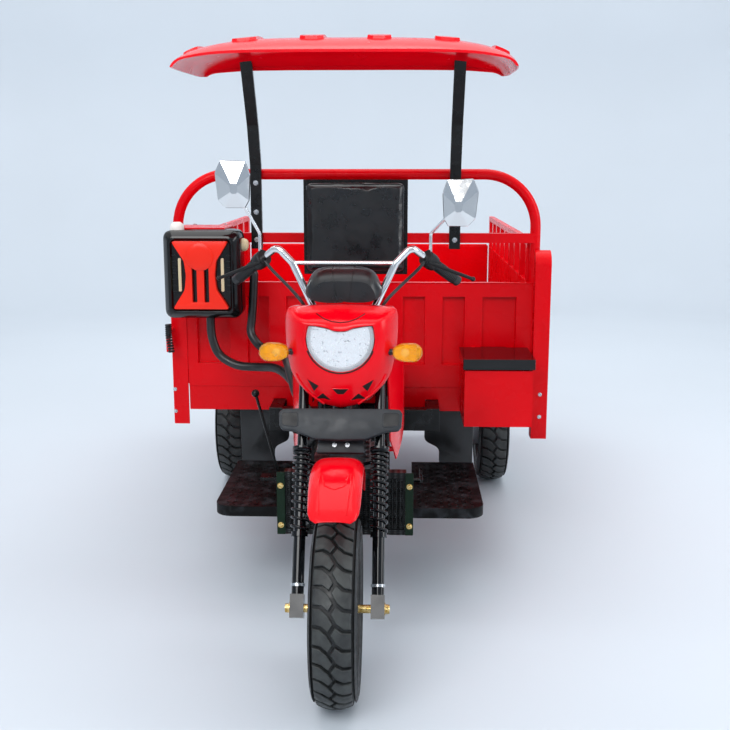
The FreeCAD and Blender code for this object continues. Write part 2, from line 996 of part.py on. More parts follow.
def dash_hood():
    """Domed back of the instrument pod, creased either side of its middle."""
    shares = (
        (0.0, 0.0),
        (0.8, 0.0),
        (1.0, 0.16),
        (0.96, 0.52),
        (0.78, 0.86),
        (0.42, 0.99),
        (0.0, 1.0),
    )
    body = hood_body(0, shares)
    for side in (1, -1):
        low = side * hood_half_width * 0.16
        high = side * hood_half_width * 0.3
        half = hood_crease / 2
        z1 = hood_bottom_z + hood_height + cut_overrun
        blade = prism_y(
            [(low - half, hood_bottom_z), (low + half, hood_bottom_z), (high + half, z1), (high - half, z1)],
            hood_y - hood_depth,
            hood_y + hood_depth * 0.8,
        )
        body = body.cut(blade.cut(hood_body(hood_crease, shares)))
    foot = fork_block(
        -stem_r * 1.4,
        stem_r * 1.4,
        stem_r,
        fork_offset,
        upper_clamp_at + clamp_height,
        upper_clamp_at + clamp_height * 5,
    )
    hood = fuse(body, foot)
    for channel in both(round_sweep(bar_points(), bar_r + seat_gap, bar_bend * 0.5)):
        hood = hood.cut(channel)
    riser_x = bar_foot_x * riser_share
    for x in (-riser_x, riser_x):
        low = fork_point(x, bar_foot_ahead, upper_clamp_at)
        high = fork_point(x, bar_foot_ahead, bar_foot_along + riser_r)
        hood = hood.cut(rod(low, high, riser_r + seat_gap))
    piece("dash_hood", max(hood.Solids, key=lambda solid: solid.Volume))


def hood_body(inset, shares):
    wires = []
    for depth, wide, tall in ((0.0, 0.84, 0.62), (0.3, 0.97, 0.9), (0.65, 1.0, 1.0), (1.0, 0.96, 0.96)):
        wires.append(
            loop_wire(
                hood_half_width * wide - inset,
                hood_bottom_z + hood_height * tall - inset,
                hood_bottom_z,
                hood_y + inset + (hood_depth - inset) * depth,
                shares,
            )
        )
    return Part.makeLoft(wires, True, False)


def bar_points():
    foot = fork_point(0, bar_foot_ahead, bar_foot_along)
    return [
        V(0, foot.y, foot.z),
        V(bar_foot_x, foot.y, foot.z),
        V(bar_rise_x, bar_rise_y, bar_rise_z),
        V(bar_knee_x, bar_knee_y, bar_knee_z),
        V(bar_end_x, bar_end_y, bar_end_z),
    ]


def handlebar():
    foot = fork_point(0, bar_foot_ahead, bar_foot_along)
    half = bent_tube(bar_points(), bar_r, bar_bend * 0.5)
    cross = rod(V(-bar_rise_x, bar_rise_y, bar_rise_z), V(bar_rise_x, bar_rise_y, bar_rise_z), crossbar_r)
    risers = []
    for side in (1, -1):
        x = side * bar_foot_x * riser_share
        low = fork_point(x, bar_foot_ahead, upper_clamp_at + clamp_height)
        risers.append(rod(low, V(x, foot.y, foot.z), riser_r))
    bar = fuse(half, mirrored(half), cross, *risers)
    piece("handlebar", bar)


def bar_axis():
    knee = V(bar_knee_x, bar_knee_y, bar_knee_z)
    end = V(bar_end_x, bar_end_y, bar_end_z)
    return knee, end, unit(end - knee)


def hand_controls():
    knee, end, along = bar_axis()
    grip_from = end - along * grip_length
    grip = rod(grip_from, end + along * grip_gap, grip_r, bar_r + seat_gap)
    grip = grip.fuse(rod(end + along * seat_gap, end + along * grip_gap * 2, grip_r))
    piece("hand_grips", *both(grip))
    inner_end = grip_from - along * switch_length
    switch = rod(inner_end, grip_from - along * seat_gap, switch_r, bar_r + seat_gap)
    root = grip_from - along * switch_length * 0.6 + V(0, -switch_r, -lever_r)
    tip = end + V(grip_length * 0.4, -grip_length * 0.55, grip_length * 0.1)
    lever = rod(root, tip, lever_r)
    ball = Part.makeSphere(lever_r * 1.4, tip)
    piece("hand_controls", *both(fuse(switch, lever, ball)))


def control_cables():
    """Cable bundle either side, from the switch housing down behind the fairing."""
    knee, end, along = bar_axis()
    start = end - along * (grip_length + switch_length)
    foot = fork_point(cable_foot_x, 0, upper_clamp_at + clamp_height + seat_gap)
    points = [
        start + V(-1.6, -10.1, -13.6),
        V(224, 446, 1184),
        V(170, 414, 1137),
        V(124, 366, 1096),
        foot + steer_up * cable_r * 12,
        foot,
    ]
    bundle = round_sweep(points, cable_r)
    bundle = bundle.cut(rod(start, end, switch_r + seat_gap))
    piece("control_cables", *both(bundle))


def mirror_head(side, centre):
    """Bright faceted shell that tapers to the boss its stem enters."""
    half_w = mirror_width / 2
    half_h = mirror_height / 2
    cut = mirror_corner_share
    outline = [
        (-half_w * (1 - cut), -half_h),
        (half_w * (0.75 - cut), -half_h),
        (half_w * 0.85, -half_h * (1 - cut)),
        (half_w, half_h * (1 - cut * 1.6)),
        (half_w * (1 - cut), half_h),
        (-half_w * (1 - cut * 0.8), half_h * 0.96),
        (-half_w, half_h * (0.7 - cut)),
        (-half_w * 0.92, -half_h * (1 - cut)),
    ]
    boss_x = -half_w * 0.16
    boss_z = -half_h * 0.22
    loops = []
    for depth, spread in ((0.0, 1.0), (0.28, 0.98), (1.0, mirror_boss_share)):
        loop = []
        for x, z in outline:
            across = boss_x * (1 - spread) + x * spread
            up = boss_z * (1 - spread) + z * spread
            loop.append(centre + V(side * across, -mirror_depth * depth, up))
        loops.append(Part.makePolygon(loop + loop[:1]))
    return Part.makeLoft(loops, True, True)


def mirrors():
    knee, end, along = bar_axis()
    heads = []
    stems = []
    for side, rise in ((1, 0), (-1, 1)):
        base = end - along * (grip_length + switch_length * 0.4)
        base = V(side * base.x, base.y, base.z)
        lift = V(0, 0, mirror_height * 0.6)
        centre = V(
            side * (bar_end_x - mirror_width * (0.14 * rise)),
            bar_knee_y,
            bar_knee_z + mirror_height * (0.95 + 0.38 * rise),
        )
        back = centre - V(0, mirror_depth * 0.5, 0)
        stem = bent_tube([base, base + lift, back], mirror_stem_r, mirror_stem_r * 3)
        across = V(side * along.x, along.y, along.z)
        reach = across * switch_length
        stem = stem.cut(rod(base - reach, base + reach, switch_r + seat_gap))
        head = mirror_head(side, centre)
        heads.append(head.cut(stem))
        stems.append(stem)
    piece("mirror_heads", *heads)
    piece("mirror_stems", *stems)


def backbone_points():
    middle = fork_point(0, 0, (lower_clamp_at + upper_clamp_at) * 0.5)
    return [
        middle + V(0, head_tube_r, 0),
        V(0, tank_front_y + tank_length * 0.5, backbone_z + backbone_r),
        V(0, cradle_end_y, backbone_end_z),
    ]


def main_frame():
    low = fork_point(0, 0, lower_clamp_at + clamp_height + head_gap)
    high = fork_point(0, 0, upper_clamp_at - head_gap)
    head = rod(low, high, head_tube_r, head_bore_r)
    races = []
    for start, direction in ((low, steer_up), (high, steer_up * -1)):
        races.append(rod(start, start + direction * race_height, head_tube_r, stem_r + running_gap))
    tubes = [bent_tube(backbone_points(), backbone_r, frame_bend)]
    neck = low + steer_up * (race_height * 2) + V(0, head_tube_r * 0.6, 0)
    down = bent_tube(
        [
            neck + V(head_tube_r * 0.4, 0, 0),
            V(down_tube_x, down_tube_knee_y, rail_z + engine_height * 1.6),
            V(down_tube_x, down_tube_knee_y, rail_z),
            V(down_tube_x, cradle_end_y, rail_z),
            V(down_tube_x, cradle_end_y, seat_bottom_z - tube_r * 0.5 - sheet),
        ],
        tube_r,
        frame_bend,
    )
    tubes.extend(both(down))
    seat_tube_z = seat_bottom_z - tube_r * 0.9 - sheet - seat_gap * 2
    seat_tube_end = V(down_tube_x, cradle_end_y, seat_tube_z)
    seat_tube = rod(V(down_tube_x, seat_front_y, seat_tube_z), seat_tube_end, tube_r * 0.9)
    tubes.extend(both(seat_tube))
    for y, z in (
        (seat_front_y + tube_r, seat_tube_z),
        (cradle_end_y, backbone_end_z),
        (board_front_y + tube_r * 2, rail_z),
        (cradle_end_y - frame_bend * 1.5, rail_z),
    ):
        tubes.append(rod(V(-down_tube_x, y, z), V(down_tube_x, y, z), tube_r * 0.8))
    piece("main_frame", fuse(fuse(head, *races), *tubes).cut(steering_bore()))


def steering_bore():
    low = fork_point(0, 0, lower_clamp_at + clamp_height + race_height)
    high = fork_point(0, 0, upper_clamp_at - race_height)
    return rod(low, high, head_bore_r)


def chassis_rails():
    x0 = chassis_rail_x - chassis_rail_width / 2
    x1 = chassis_rail_x + chassis_rail_width / 2
    z1 = chassis_rail_z + chassis_rail_height
    rail = box(x0, x1, chassis_front_y, box_rear_y - chassis_rail_width, chassis_rail_z, z1)
    inner = box(
        x0 - cut_overrun,
        x1 - chassis_rail_wall,
        chassis_front_y + chassis_rail_wall,
        box_rear_y - chassis_rail_width - chassis_rail_wall,
        chassis_rail_z + chassis_rail_wall,
        z1 - chassis_rail_wall,
    )
    rail = rail.cut(inner)
    parts = both(rail)
    reach = box_rear_y - chassis_rail_width * 2 - chassis_front_y
    for share in (0.0, 0.36, 0.68, 1.0):
        y = chassis_front_y + reach * share
        parts.append(
            box(
                -x1 + chassis_rail_wall,
                x1 - chassis_rail_wall,
                y,
                y + chassis_rail_width,
                chassis_rail_z + chassis_rail_wall,
                z1 - chassis_rail_wall,
            )
        )
    piece("chassis_rails", fuse(*parts))


def cargo_floor():
    """Floor sheet on cross members, with the long side sills."""
    inner = box_half_width - side_wall_depth
    inner = inner - seat_gap
    deck = box(-inner, inner, wall_back_y + seat_gap, box_rear_y, floor_under_z, box_floor_z)
    parts = [deck]
    span = box_rear_y - wall_back_y - seat_gap - cross_member_width
    top = floor_under_z
    low = chassis_rail_z + chassis_rail_height
    for index in range(cross_member_count):
        y = wall_back_y + seat_gap + span * index / (cross_member_count - 1)
        parts.append(box(-inner + seat_gap, inner - seat_gap, y, y + cross_member_width, low, top))
    piece("cargo_floor", fuse(*parts))


def recess_spans():
    """Across-car extents of the pressed recesses, on one side of the centre."""
    spans = []
    for index in range(3):
        start = recess_first + recess_pitch * index
        spans.append((start, start + recess_width))
    start = recess_first + recess_pitch * 3
    spans.append((start, start + outer_recess_width))
    return spans


def front_wall():
    half = box_half_width
    wall = box(-half, half, box_front_y, wall_back_y, box_recess_edge, box_wall_top)
    spans = recess_spans()
    for side in (1, -1):
        edge = 0
        for low, high in spans:
            x0, x1 = sorted((side * low, side * high))
            pocket = box(
                x0,
                x1,
                box_front_y - cut_overrun,
                wall_back_y - sheet,
                box_recess_bottom,
                box_band_bottom,
            )
            wall = wall.cut(pocket)
            if edge:
                a, b = sorted((side * (edge + sheet), side * (low - sheet)))
                wall = wall.cut(
                    box(
                        a,
                        b,
                        box_front_y + sheet,
                        wall_back_y + cut_overrun,
                        box_recess_bottom,
                        box_band_bottom,
                    )
                )
            edge = high
    lip_end = left_post_x - seat_gap
    lip = box(-half, lip_end, box_front_y - sheet, wall_back_y, box_wall_top - sheet, box_wall_top)
    skirt_end = post_width * 0.5 - half
    skirt = box(
        skirt_end,
        half,
        box_front_y + sheet,
        box_front_y + sheet * 2,
        box_skirt_bottom,
        box_recess_edge,
    )
    fold = box(
        skirt_end,
        half,
        box_front_y,
        box_front_y + sheet * 2,
        box_skirt_top - sheet,
        box_recess_edge,
    )
    wall = fuse(wall, lip, skirt, fold)
    rail_half = (chassis_rail_width / 2) + seat_gap
    for x in (-chassis_rail_x, chassis_rail_x):
        notch = box(
            x - rail_half,
            x + rail_half,
            box_front_y - cut_overrun,
            wall_back_y,
            chassis_rail_z - seat_gap,
            chassis_rail_z + chassis_rail_height + seat_gap,
        )
        wall = wall.cut(notch)
    piece("cargo_front_wall", wall)


def side_wall(side):
    """Pressed side wall: ribbed lower panel and a raised rail on short posts."""
    outer = box_half_width
    inner = outer - side_wall_depth
    y0 = side_front_y
    y1 = box_rear_y
    skin = box(inner, inner + sheet, y0, y1, floor_under_z, box_wall_top)
    parts = [skin]
    span = y1 - y0 - side_rib_width
    count = max(2, round(span / side_bay))
    for index in range(count + 1):
        y = y0 + span * index / count
        parts.append(box(inner, outer, y, y + side_rib_width, box_recess_edge, side_top))
    for low, high in (
        (floor_under_z, box_recess_bottom),
        (box_band_bottom, box_wall_top),
        (side_top - box_wall_depth, side_top),
    ):
        parts.append(box(inner, outer, y0, y1, low, high))
    wall = fuse(*parts)
    return wall if side > 0 else mirrored(wall)


def tailgate():
    half = box_half_width - side_wall_depth - tailgate_gap
    y0 = box_rear_y + moving_gap
    y1 = y0 + sheet
    z0 = box_floor_z - cross_member_height * 0.3
    z1 = box_wall_top
    skin = box(-half, half, y0, y1, z0, z1)
    parts = [skin]
    depth = hinge_knuckle_r
    for low, high in ((z0, z0 + side_rib_width), (z1 - side_rib_width, z1)):
        parts.append(box(-half, half, y0, y0 + depth, low, high))
    for share in (-1.0, -0.5, 0.0, 0.5, 1.0):
        x = share * (half - side_rib_width / 2)
        parts.append(box(x - side_rib_width / 2, x + side_rib_width / 2, y0, y0 + depth, z0, z1))
    pin_y = hinge_y()
    pin_z = hinge_z()
    for x in (-hinge_spread, hinge_spread):
        knuckle = rod(
            V(x - hinge_length / 2, pin_y, pin_z),
            V(x + hinge_length / 2, pin_y, pin_z),
            hinge_knuckle_r,
            hinge_pin_r + running_gap,
        )
        a = x - hinge_length / 2
        b = x + hinge_length / 2
        leaf = box(a, b, y0, pin_y, pin_z + hinge_pin_r * 1.3, pin_z + hinge_knuckle_r)
        leaf = leaf.cut(rod(V(a, pin_y, pin_z), V(b, pin_y, pin_z), hinge_pin_r + running_gap))
        strap = box(a, b, y0 + depth, y0 + depth + sheet, pin_z, z0 + side_rib_width * 3)
        parts.extend([knuckle, leaf, strap])
    gate = fuse(*parts)
    gate = gate.cut(rod(V(-half, pin_y, pin_z), V(half, pin_y, pin_z), hinge_pin_r + running_gap))
    piece("tailgate", gate)


def hinge_y():
    return rear_end - hinge_knuckle_r


def hinge_z():
    return box_floor_z - cross_member_height * 0.3 - hinge_knuckle_r - sheet


def tailgate_hinges():
    pins = []
    y = hinge_y()
    z = hinge_z()
    for x in (-hinge_spread, hinge_spread):
        half = hinge_length / 2 + seat_gap
        reach = half + hinge_length * 0.25
        pin = rod(V(x - reach, y, z), V(x + reach, y, z), hinge_pin_r)
        ears = []
        for side in (1, -1):
            a, b = sorted((x + side * half, x + side * reach))
            ears.append(
                box(
                    a,
                    b,
                    box_rear_y + seat_gap,
                    y + hinge_pin_r,
                    z - hinge_pin_r * 1.4,
                    z + hinge_pin_r * 1.4,
                )
            )
        mount = box(
            x - reach,
            x + reach,
            box_rear_y + seat_gap,
            box_rear_y + seat_gap + sheet,
            z - hinge_knuckle_r * 2,
            z + hinge_pin_r,
        )
        pins.append(fuse(pin, mount, *ears))
    piece("tailgate_hinges", *pins)


def corner_posts():
    low_z = left_post_foot
    x0 = left_post_x
    x1 = left_post_x + post_width
    y0 = box_front_y - post_depth
    y1 = box_front_y - seat_gap
    top = left_post_top
    arc = Part.makeCylinder(post_depth, post_width, V(x0, y1, top - post_depth), V(1, 0, 0))
    column = box(x0, x1, y0, y1, low_z, top - post_depth)
    cap = arc.common(box(x0, x1, y0, y1, top - post_depth, top))
    left = fuse(column, cap)
    inner = box(
        x0 + sheet, x1 - sheet, y0 + sheet, y1 + cut_overrun, low_z - cut_overrun, top - post_depth - sheet
    )
    left = left.cut(inner)
    half = hoop_half_width + cut_overrun
    right = box(
        -half,
        post_width - half,
        box_front_y - sheet * 2,
        box_front_y - seat_gap,
        right_post_foot,
        box_wall_top - sheet * 2,
    )
    # handle of the latch, proud of the right post
    reach = left_post_x + post_width - latch_r
    latch_z = (box_recess_bottom + box_band_bottom) * 0.47
    latch_y = box_front_y - sheet * 1.1
    grip = bent_tube(
        [
            V(-half + post_width * 0.2, latch_y, latch_z + post_width),
            V(-reach, latch_y, latch_z + post_width * 0.7),
            V(-reach, latch_y, latch_z - post_width * 0.6),
        ],
        latch_r,
        hoop_r,
    )
    piece("box_posts", left, fuse(right, grip))


def guard_hoop():
    y = hoop_y
    x = hoop_half_width - hoop_r
    z = hoop_top_z - hoop_r
    foot = floor_under_z
    path = [V(-x, y, foot), V(-x, y, z), V(x, y, z), V(x, y, foot)]
    hoop = bent_tube(path, hoop_r, hoop_bend)
    rail = box(
        -x,
        x,
        hoop_front_y,
        hoop_front_y + cross_rail_depth,
        cross_rail_bottom,
        cross_rail_bottom + cross_rail_height,
    )
    piece("guard_hoop", fuse(hoop, rail))


def seat_and_back():
    x = seat_half_width
    y0 = seat_front_y
    y1 = seat_front_y + seat_length
    z0 = seat_bottom_z
    z1 = seat_bottom_z + seat_height
    side = [
        (y0, z0),
        (y1, z0),
        (y1, z1 - seat_height * 0.2),
        (y1 - seat_length * 0.1, z1),
        (y0 + seat_length * 0.2, z1 - seat_height * 0.1),
        (y0, z1 - seat_height * 0.35),
    ]
    piece("driver_seat", prism_x(side, -x, x))
    pan = box(-x, x, y0, y1, z0 - sheet - seat_gap, z0 - seat_gap)
    under = seat_bottom_z - seat_height
    cheek_x = down_tube_x + tube_r + seat_gap
    cheek_y = y0 + seat_length * 0.3
    cheek = box(cheek_x, cheek_x + sheet, cheek_y, cradle_end_y - tube_r, under, z0 - seat_gap)
    piece("seat_base", fuse(pan, *both(cheek)))
    rail_front = hoop_front_y - seat_gap
    back = rail_front - back_plate
    half = pad_width / 2
    face_y = back - seat_gap - pad_thick
    pad = box(-half, half, face_y, back - seat_gap, pad_bottom_z, pad_bottom_z + pad_height)
    edges = [edge for edge in pad.Edges if abs(edge.CenterOfMass.y - face_y) < seat_gap]
    piece("backrest_pad", pad.makeFillet(pad_thick * 0.3, edges))
    plate = box(-half, half, back, rail_front, pad_bottom_z, pad_bottom_z + pad_height)
    piece("backrest_plate", plate)


def fuel_tank():
    y0 = tank_front_y
    y1 = tank_front_y + tank_length
    z0 = tank_bottom_z
    x = tank_half_width
    sections = (
        (0.0, 0.72, 0.30, 0.96),
        (0.3, 1.0, 0.0, 1.0),
        (0.75, 0.92, 0.0, 0.86),
        (1.0, 0.62, 0.08, 0.58),
    )
    shares = (
        (0.0, 0.0),
        (0.7, 0.04),
        (1.0, 0.4),
        (0.86, 0.8),
        (0.5, 0.97),
        (0.0, 1.0),
    )
    wires = []
    for depth_share, width_share, low_share, high_share in sections:
        wires.append(
            loop_wire(
                x * width_share,
                z0 + tank_height * high_share,
                z0 + tank_height * low_share,
                y0 + (y1 - y0) * depth_share,
                shares,
            )
        )
    body = Part.makeLoft(wires, True, False)
    tunnel = round_sweep(backbone_points(), backbone_r + seat_gap, frame_bend)
    cap = rod(
        V(0, y0 + tank_length * 0.4, z0 + tank_height * 0.9),
        V(0, y0 + tank_length * 0.4, z0 + tank_height * 1.06),
        stem_r * 2,
    )
    piece("fuel_tank", body.cut(tunnel).fuse(cap))


def side_shrouds():
    """Curved leg shields either side, from the tank down past the engine."""
    shares = (
        (0.0, 0.93),
        (0.39, 1.0),
        (1.0, 0.7),
        (0.79, 0.23),
        (0.27, 0.0),
        (0.08, 0.23),
    )
    outline = [(shroud_front_y + shroud_length * a, shroud_bottom_z + shroud_height * b) for a, b in shares]
    slab = prism_x(outline, 0, shroud_x * 2)
    bow_r = (shroud_length ** 2 / 2 + shroud_bow ** 2) / (2 * shroud_bow)
    centre = V(shroud_x - bow_r, shroud_front_y + shroud_length / 2, 0)
    outer = Part.makeCylinder(bow_r, fairing_top_z, centre)
    inner = Part.makeCylinder(bow_r - shroud_wall, fairing_top_z, centre)
    panel = slab.common(outer.cut(inner))
    stay_y = down_tube_knee_y
    stay_z = rail_z + engine_height * 1.48
    rear = V(shroud_x, shroud_front_y + shroud_length, 0)
    panel.rotate(rear, V(0, 0, -1), shroud_toe_deg)
    start = V(down_tube_x + tube_r + seat_gap, stay_y, stay_z)
    inside = V(shroud_x * 2, stay_y, stay_z)
    wall_x = rod(start, inside, seat_gap).common(panel).Solids[0].CenterOfMass.x
    stay = rod(start, V(wall_x, stay_y, stay_z), tube_r / 2)
    piece("side_shrouds", *both(fuse(panel, stay)))


def engine():
    y0 = engine_front_y
    y1 = y0 + engine_length
    z0 = rail_z + tube_r + seat_gap
    z1 = z0 + engine_height
    half = engine_half_width
    case = prism_x(
        [
            (y0, z0 + engine_height * 0.25),
            (y0 + engine_length * 0.15, z0),
            (y1 - engine_length * 0.1, z0),
            (y1, z0 + engine_height * 0.3),
            (y1 - engine_length * 0.1, z1),
            (y0 + engine_length * 0.1, z1),
        ],
        -half,
        half,
    )
    cw = cylinder_width / 2
    cy0 = y0 + engine_length * 0.15
    barrel = box(-cw, cw, cy0, cy0 + cylinder_width, z1 - fin_thick, z1 + cylinder_height)
    parts = [barrel]
    for index in range(fin_count):
        z = z1 + cylinder_height * (0.12 + 0.8 * index / fin_count)
        parts.append(
            box(
                -cw - fin_proud,
                cw + fin_proud,
                cy0 - fin_proud,
                cy0 + cylinder_width + fin_proud,
                z,
                z + fin_thick,
            )
        )
    piece("engine", fuse(case, *parts))


def radiator():
    half = radiator_half_width
    y0 = radiator_y
    y1 = y0 + radiator_depth
    z0 = radiator_bottom
    z1 = z0 + radiator_height
    tank = radiator_height * 0.09
    core = box(-half, half, y0 + radiator_depth * 0.2, y1 - radiator_depth * 0.2, z0 + tank, z1 - tank)
    bottom = box(-half, half, y0, y1, z0, z0 + tank)
    top = box(-half, half, y0, y1, z1 - tank, z1)
    piece("radiator", fuse(core, bottom, top))
    guards = []
    a = half + seat_gap
    plate = box(a, a + guard_width, y0 - sheet, y0, z0, z1)
    web = box(a, a + sheet, y0, y1, z0, z1)
    tie_low = z0 + radiator_height * 0.45
    tie_high = tie_low + guard_width
    strut = box(a, a + sheet, y1, down_tube_knee_y + tube_r, tie_low, tie_high)
    tie_y0 = down_tube_knee_y - tube_r * 0.4
    tie_y1 = down_tube_knee_y + tube_r * 0.4
    tie = box(down_tube_x, a + sheet, tie_y0, tie_y1, tie_low, tie_high)
    foot = V(down_tube_x, down_tube_knee_y, z0 - tank * 3)
    tie = tie.cut(rod(foot, V(down_tube_x, down_tube_knee_y, z1), tube_r + seat_gap))
    guards.extend(both(fuse(plate, web, strut, tie)))
    piece("radiator_guards", *guards)


def footboards():
    """Pressed boards with a turned-down rim, on bearers off the cradle rails."""
    x0 = board_inner_x
    x1 = board_outer_x
    y0 = board_front_y
    y1 = board_front_y + board_length
    z1 = board_top_z

    def slab(inset, low, high):
        """Board shrunk by an inset, its outer front corner turned to an arc."""
        block = box(x0 + inset, x1 - inset, y0 + inset, y1 - inset, low, high)
        uprights = [edge for edge in block.Edges if edge.BoundBox.ZLength > board_skirt / 2]
        outer = [edge for edge in uprights if edge.CenterOfMass.x > (x0 + x1) / 2]
        front = [edge for edge in outer if edge.CenterOfMass.y < (y0 + y1) / 2]
        return block.makeFillet(board_corner - inset, front)

    board = slab(0, z1 - board_skirt, z1)
    board = board.cut(slab(board_thick, z1 - board_skirt - cut_overrun, z1 - board_thick))
    rail = rod(V(down_tube_x, y0, rail_z), V(down_tube_x, y1, rail_z), tube_r + seat_gap)
    parts = [board]
    for share in (0.2, 0.6):
        y = y0 + board_length * share
        bearer = rod(V(down_tube_x, y, rail_z), V(x1 - board_thick, y, rail_z), tube_r * 0.6)
        parts.append(bearer.cut(rail))
    piece("footboards", *both(fuse(*parts)))


def pedals():
    x = down_tube_x + engine_half_width * 0.5
    y = board_front_y + board_length * 0.3
    z = board_top_z + board_thick * 12
    bar = rod(V(engine_half_width + seat_gap, y, z), V(x + board_skirt * 4, y, z), lever_r * 1.3)
    reach = board_skirt * 2
    half = board_skirt * 0.7
    pad = box(x + reach, x + reach * 2, y - half, y + half, z, z + board_thick * 3)
    brake = mirrored(fuse(bar, pad))
    lever = rod(V(engine_half_width + seat_gap, y, z), V(x + board_skirt * 2, y, z), lever_r * 1.3)
    arm_z = z + board_skirt * 0.5
    arm = rod(V(x + reach, y - reach, arm_z), V(x + reach, y + reach, arm_z), lever_r)
    joint = rod(V(x + board_skirt * 2, y, z), V(x + board_skirt * 2, y, z + board_skirt * 0.5), lever_r)
    piece("foot_pedals", brake, fuse(lever, arm, joint))


def hand_lever():
    knob = V(-hand_lever_x, hand_lever_y, hand_lever_top)
    base_z = board_top_z + seat_gap
    foot = V(-board_inner_x - board_skirt, hand_lever_y, base_z + board_thick)
    shaft = rod(foot, knob, lever_r)
    ball = Part.makeSphere(lever_r * 2.6, knob)
    flange = rod(V(foot.x, foot.y, base_z), V(foot.x, foot.y, base_z + board_skirt), lever_r * 2.6)
    piece("hand_lever", fuse(shaft, ball, flange))


def battery_box():
    x0 = battery_x
    x1 = battery_x + battery_width
    y0 = battery_front_y
    y1 = box_front_y - seat_gap
    z0 = battery_bottom
    z1 = z0 + battery_height
    w = battery_wall
    body = box(x0, x1, y0, y1, z0, z1)
    body = body.cut(box(x0 + w, x1 - w, y0 + w, y1 - w, z0 + w, z1 + cut_overrun))
    pin_y = y1 - hinge_knuckle_r - moving_gap
    pin_z = z1 + lid_height - hinge_knuckle_r * 0.8
    ears = []
    for x in (x0 + battery_width * 0.2, x1 - battery_width * 0.2):
        ear = box(x - w * 2, x + w * 2, pin_y - hinge_pin_r, y1, z1 - hinge_length * 0.3, pin_z + hinge_pin_r)
        ears.append(ear)
    pin_end = battery_width * 0.1
    pin_r = hinge_pin_r * 0.6
    pin = rod(V(x0 + pin_end, pin_y, pin_z), V(x1 - pin_end, pin_y, pin_z), pin_r)
    piece("battery_box", fuse(body, pin, *ears))
    lid_low = z1 + moving_gap
    lid_high = z1 + lid_height
    lip = lid_lip
    lid = box(x0 - lip, x1 + lip, y0 - lip, pin_y - hinge_knuckle_r, lid_low, lid_high)
    inner_y = pin_y - hinge_knuckle_r - w
    lid = lid.cut(box(x0 + w, x1 - w, y0 + w, inner_y, lid_low - cut_overrun, lid_high - w))
    x = x0 + battery_width / 2
    half = battery_width * 0.2
    knuckle = rod(V(x - half, pin_y, pin_z), V(x + half, pin_y, pin_z), hinge_knuckle_r * 0.8)
    tongue = box(x - half, x + half, inner_y, pin_y, pin_z, lid_high)
    lid = fuse(lid, knuckle, tongue)
    lid = lid.cut(rod(V(x0, pin_y, pin_z), V(x1, pin_y, pin_z), pin_r + running_gap))
    piece("battery_box_lid", lid)


def air_filter():
    x = -filter_x
    half = filter_width / 2
    y0 = filter_y
    y1 = filter_y + filter_depth
    z0 = filter_bottom
    z1 = z0 + filter_height
    b = filter_bevel
    body = box(x - half, x + half, y0 + b, y1, z0, z1)
    loops = []
    for y, inset in ((y0 + b, 0), (y0, b)):
        low = z0 + inset
        high = z1 - inset
        reach = half - inset
        corners = [V(x - reach, y, low), V(x + reach, y, low), V(x + reach, y, high), V(x - reach, y, high)]
        loops.append(Part.makePolygon(corners + corners[:1]))
    front = Part.makeLoft(loops, True, True)
    piece("air_filter_box", fuse(body, front))
    gx = filter_width * 0.36
    gz = filter_height * 0.40
    mid = (z0 + z1) / 2
    waist = gx * 0.58
    outline = [
        (x - gx, mid - gz),
        (x + gx, mid - gz),
        (x + waist, mid - gz * 0.35),
        (x + waist, mid + gz * 0.35),
        (x + gx, mid + gz),
        (x - gx, mid + gz),
        (x - waist, mid + gz * 0.35),
        (x - waist, mid - gz * 0.35),
    ]
    grille = prism_y(outline, y0 - b * 0.6, y0 - seat_gap)
    for side in (-1, 1):
        sx = x + side * waist * 0.36
        slot_half = waist * 0.15
        slot = box(sx - slot_half, sx + slot_half, y0 - b * 2, y0 + b, mid - gz * 0.75, mid + gz * 0.28)
        grille = grille.cut(slot)
    piece("air_filter_grille", grille)
    arm_y = y1 - filter_depth * 0.4
    top = z1 + seat_gap
    tab_y = hoop_front_y - seat_gap
    a = x - half * 0.75
    b = x + half * 0.55
    arm = box(a, b, arm_y, tab_y, top, top + sheet * 2)
    tab = box(a, b, tab_y - sheet, tab_y, cross_rail_bottom, top + sheet * 2)
    piece("filter_bracket", fuse(arm, tab))


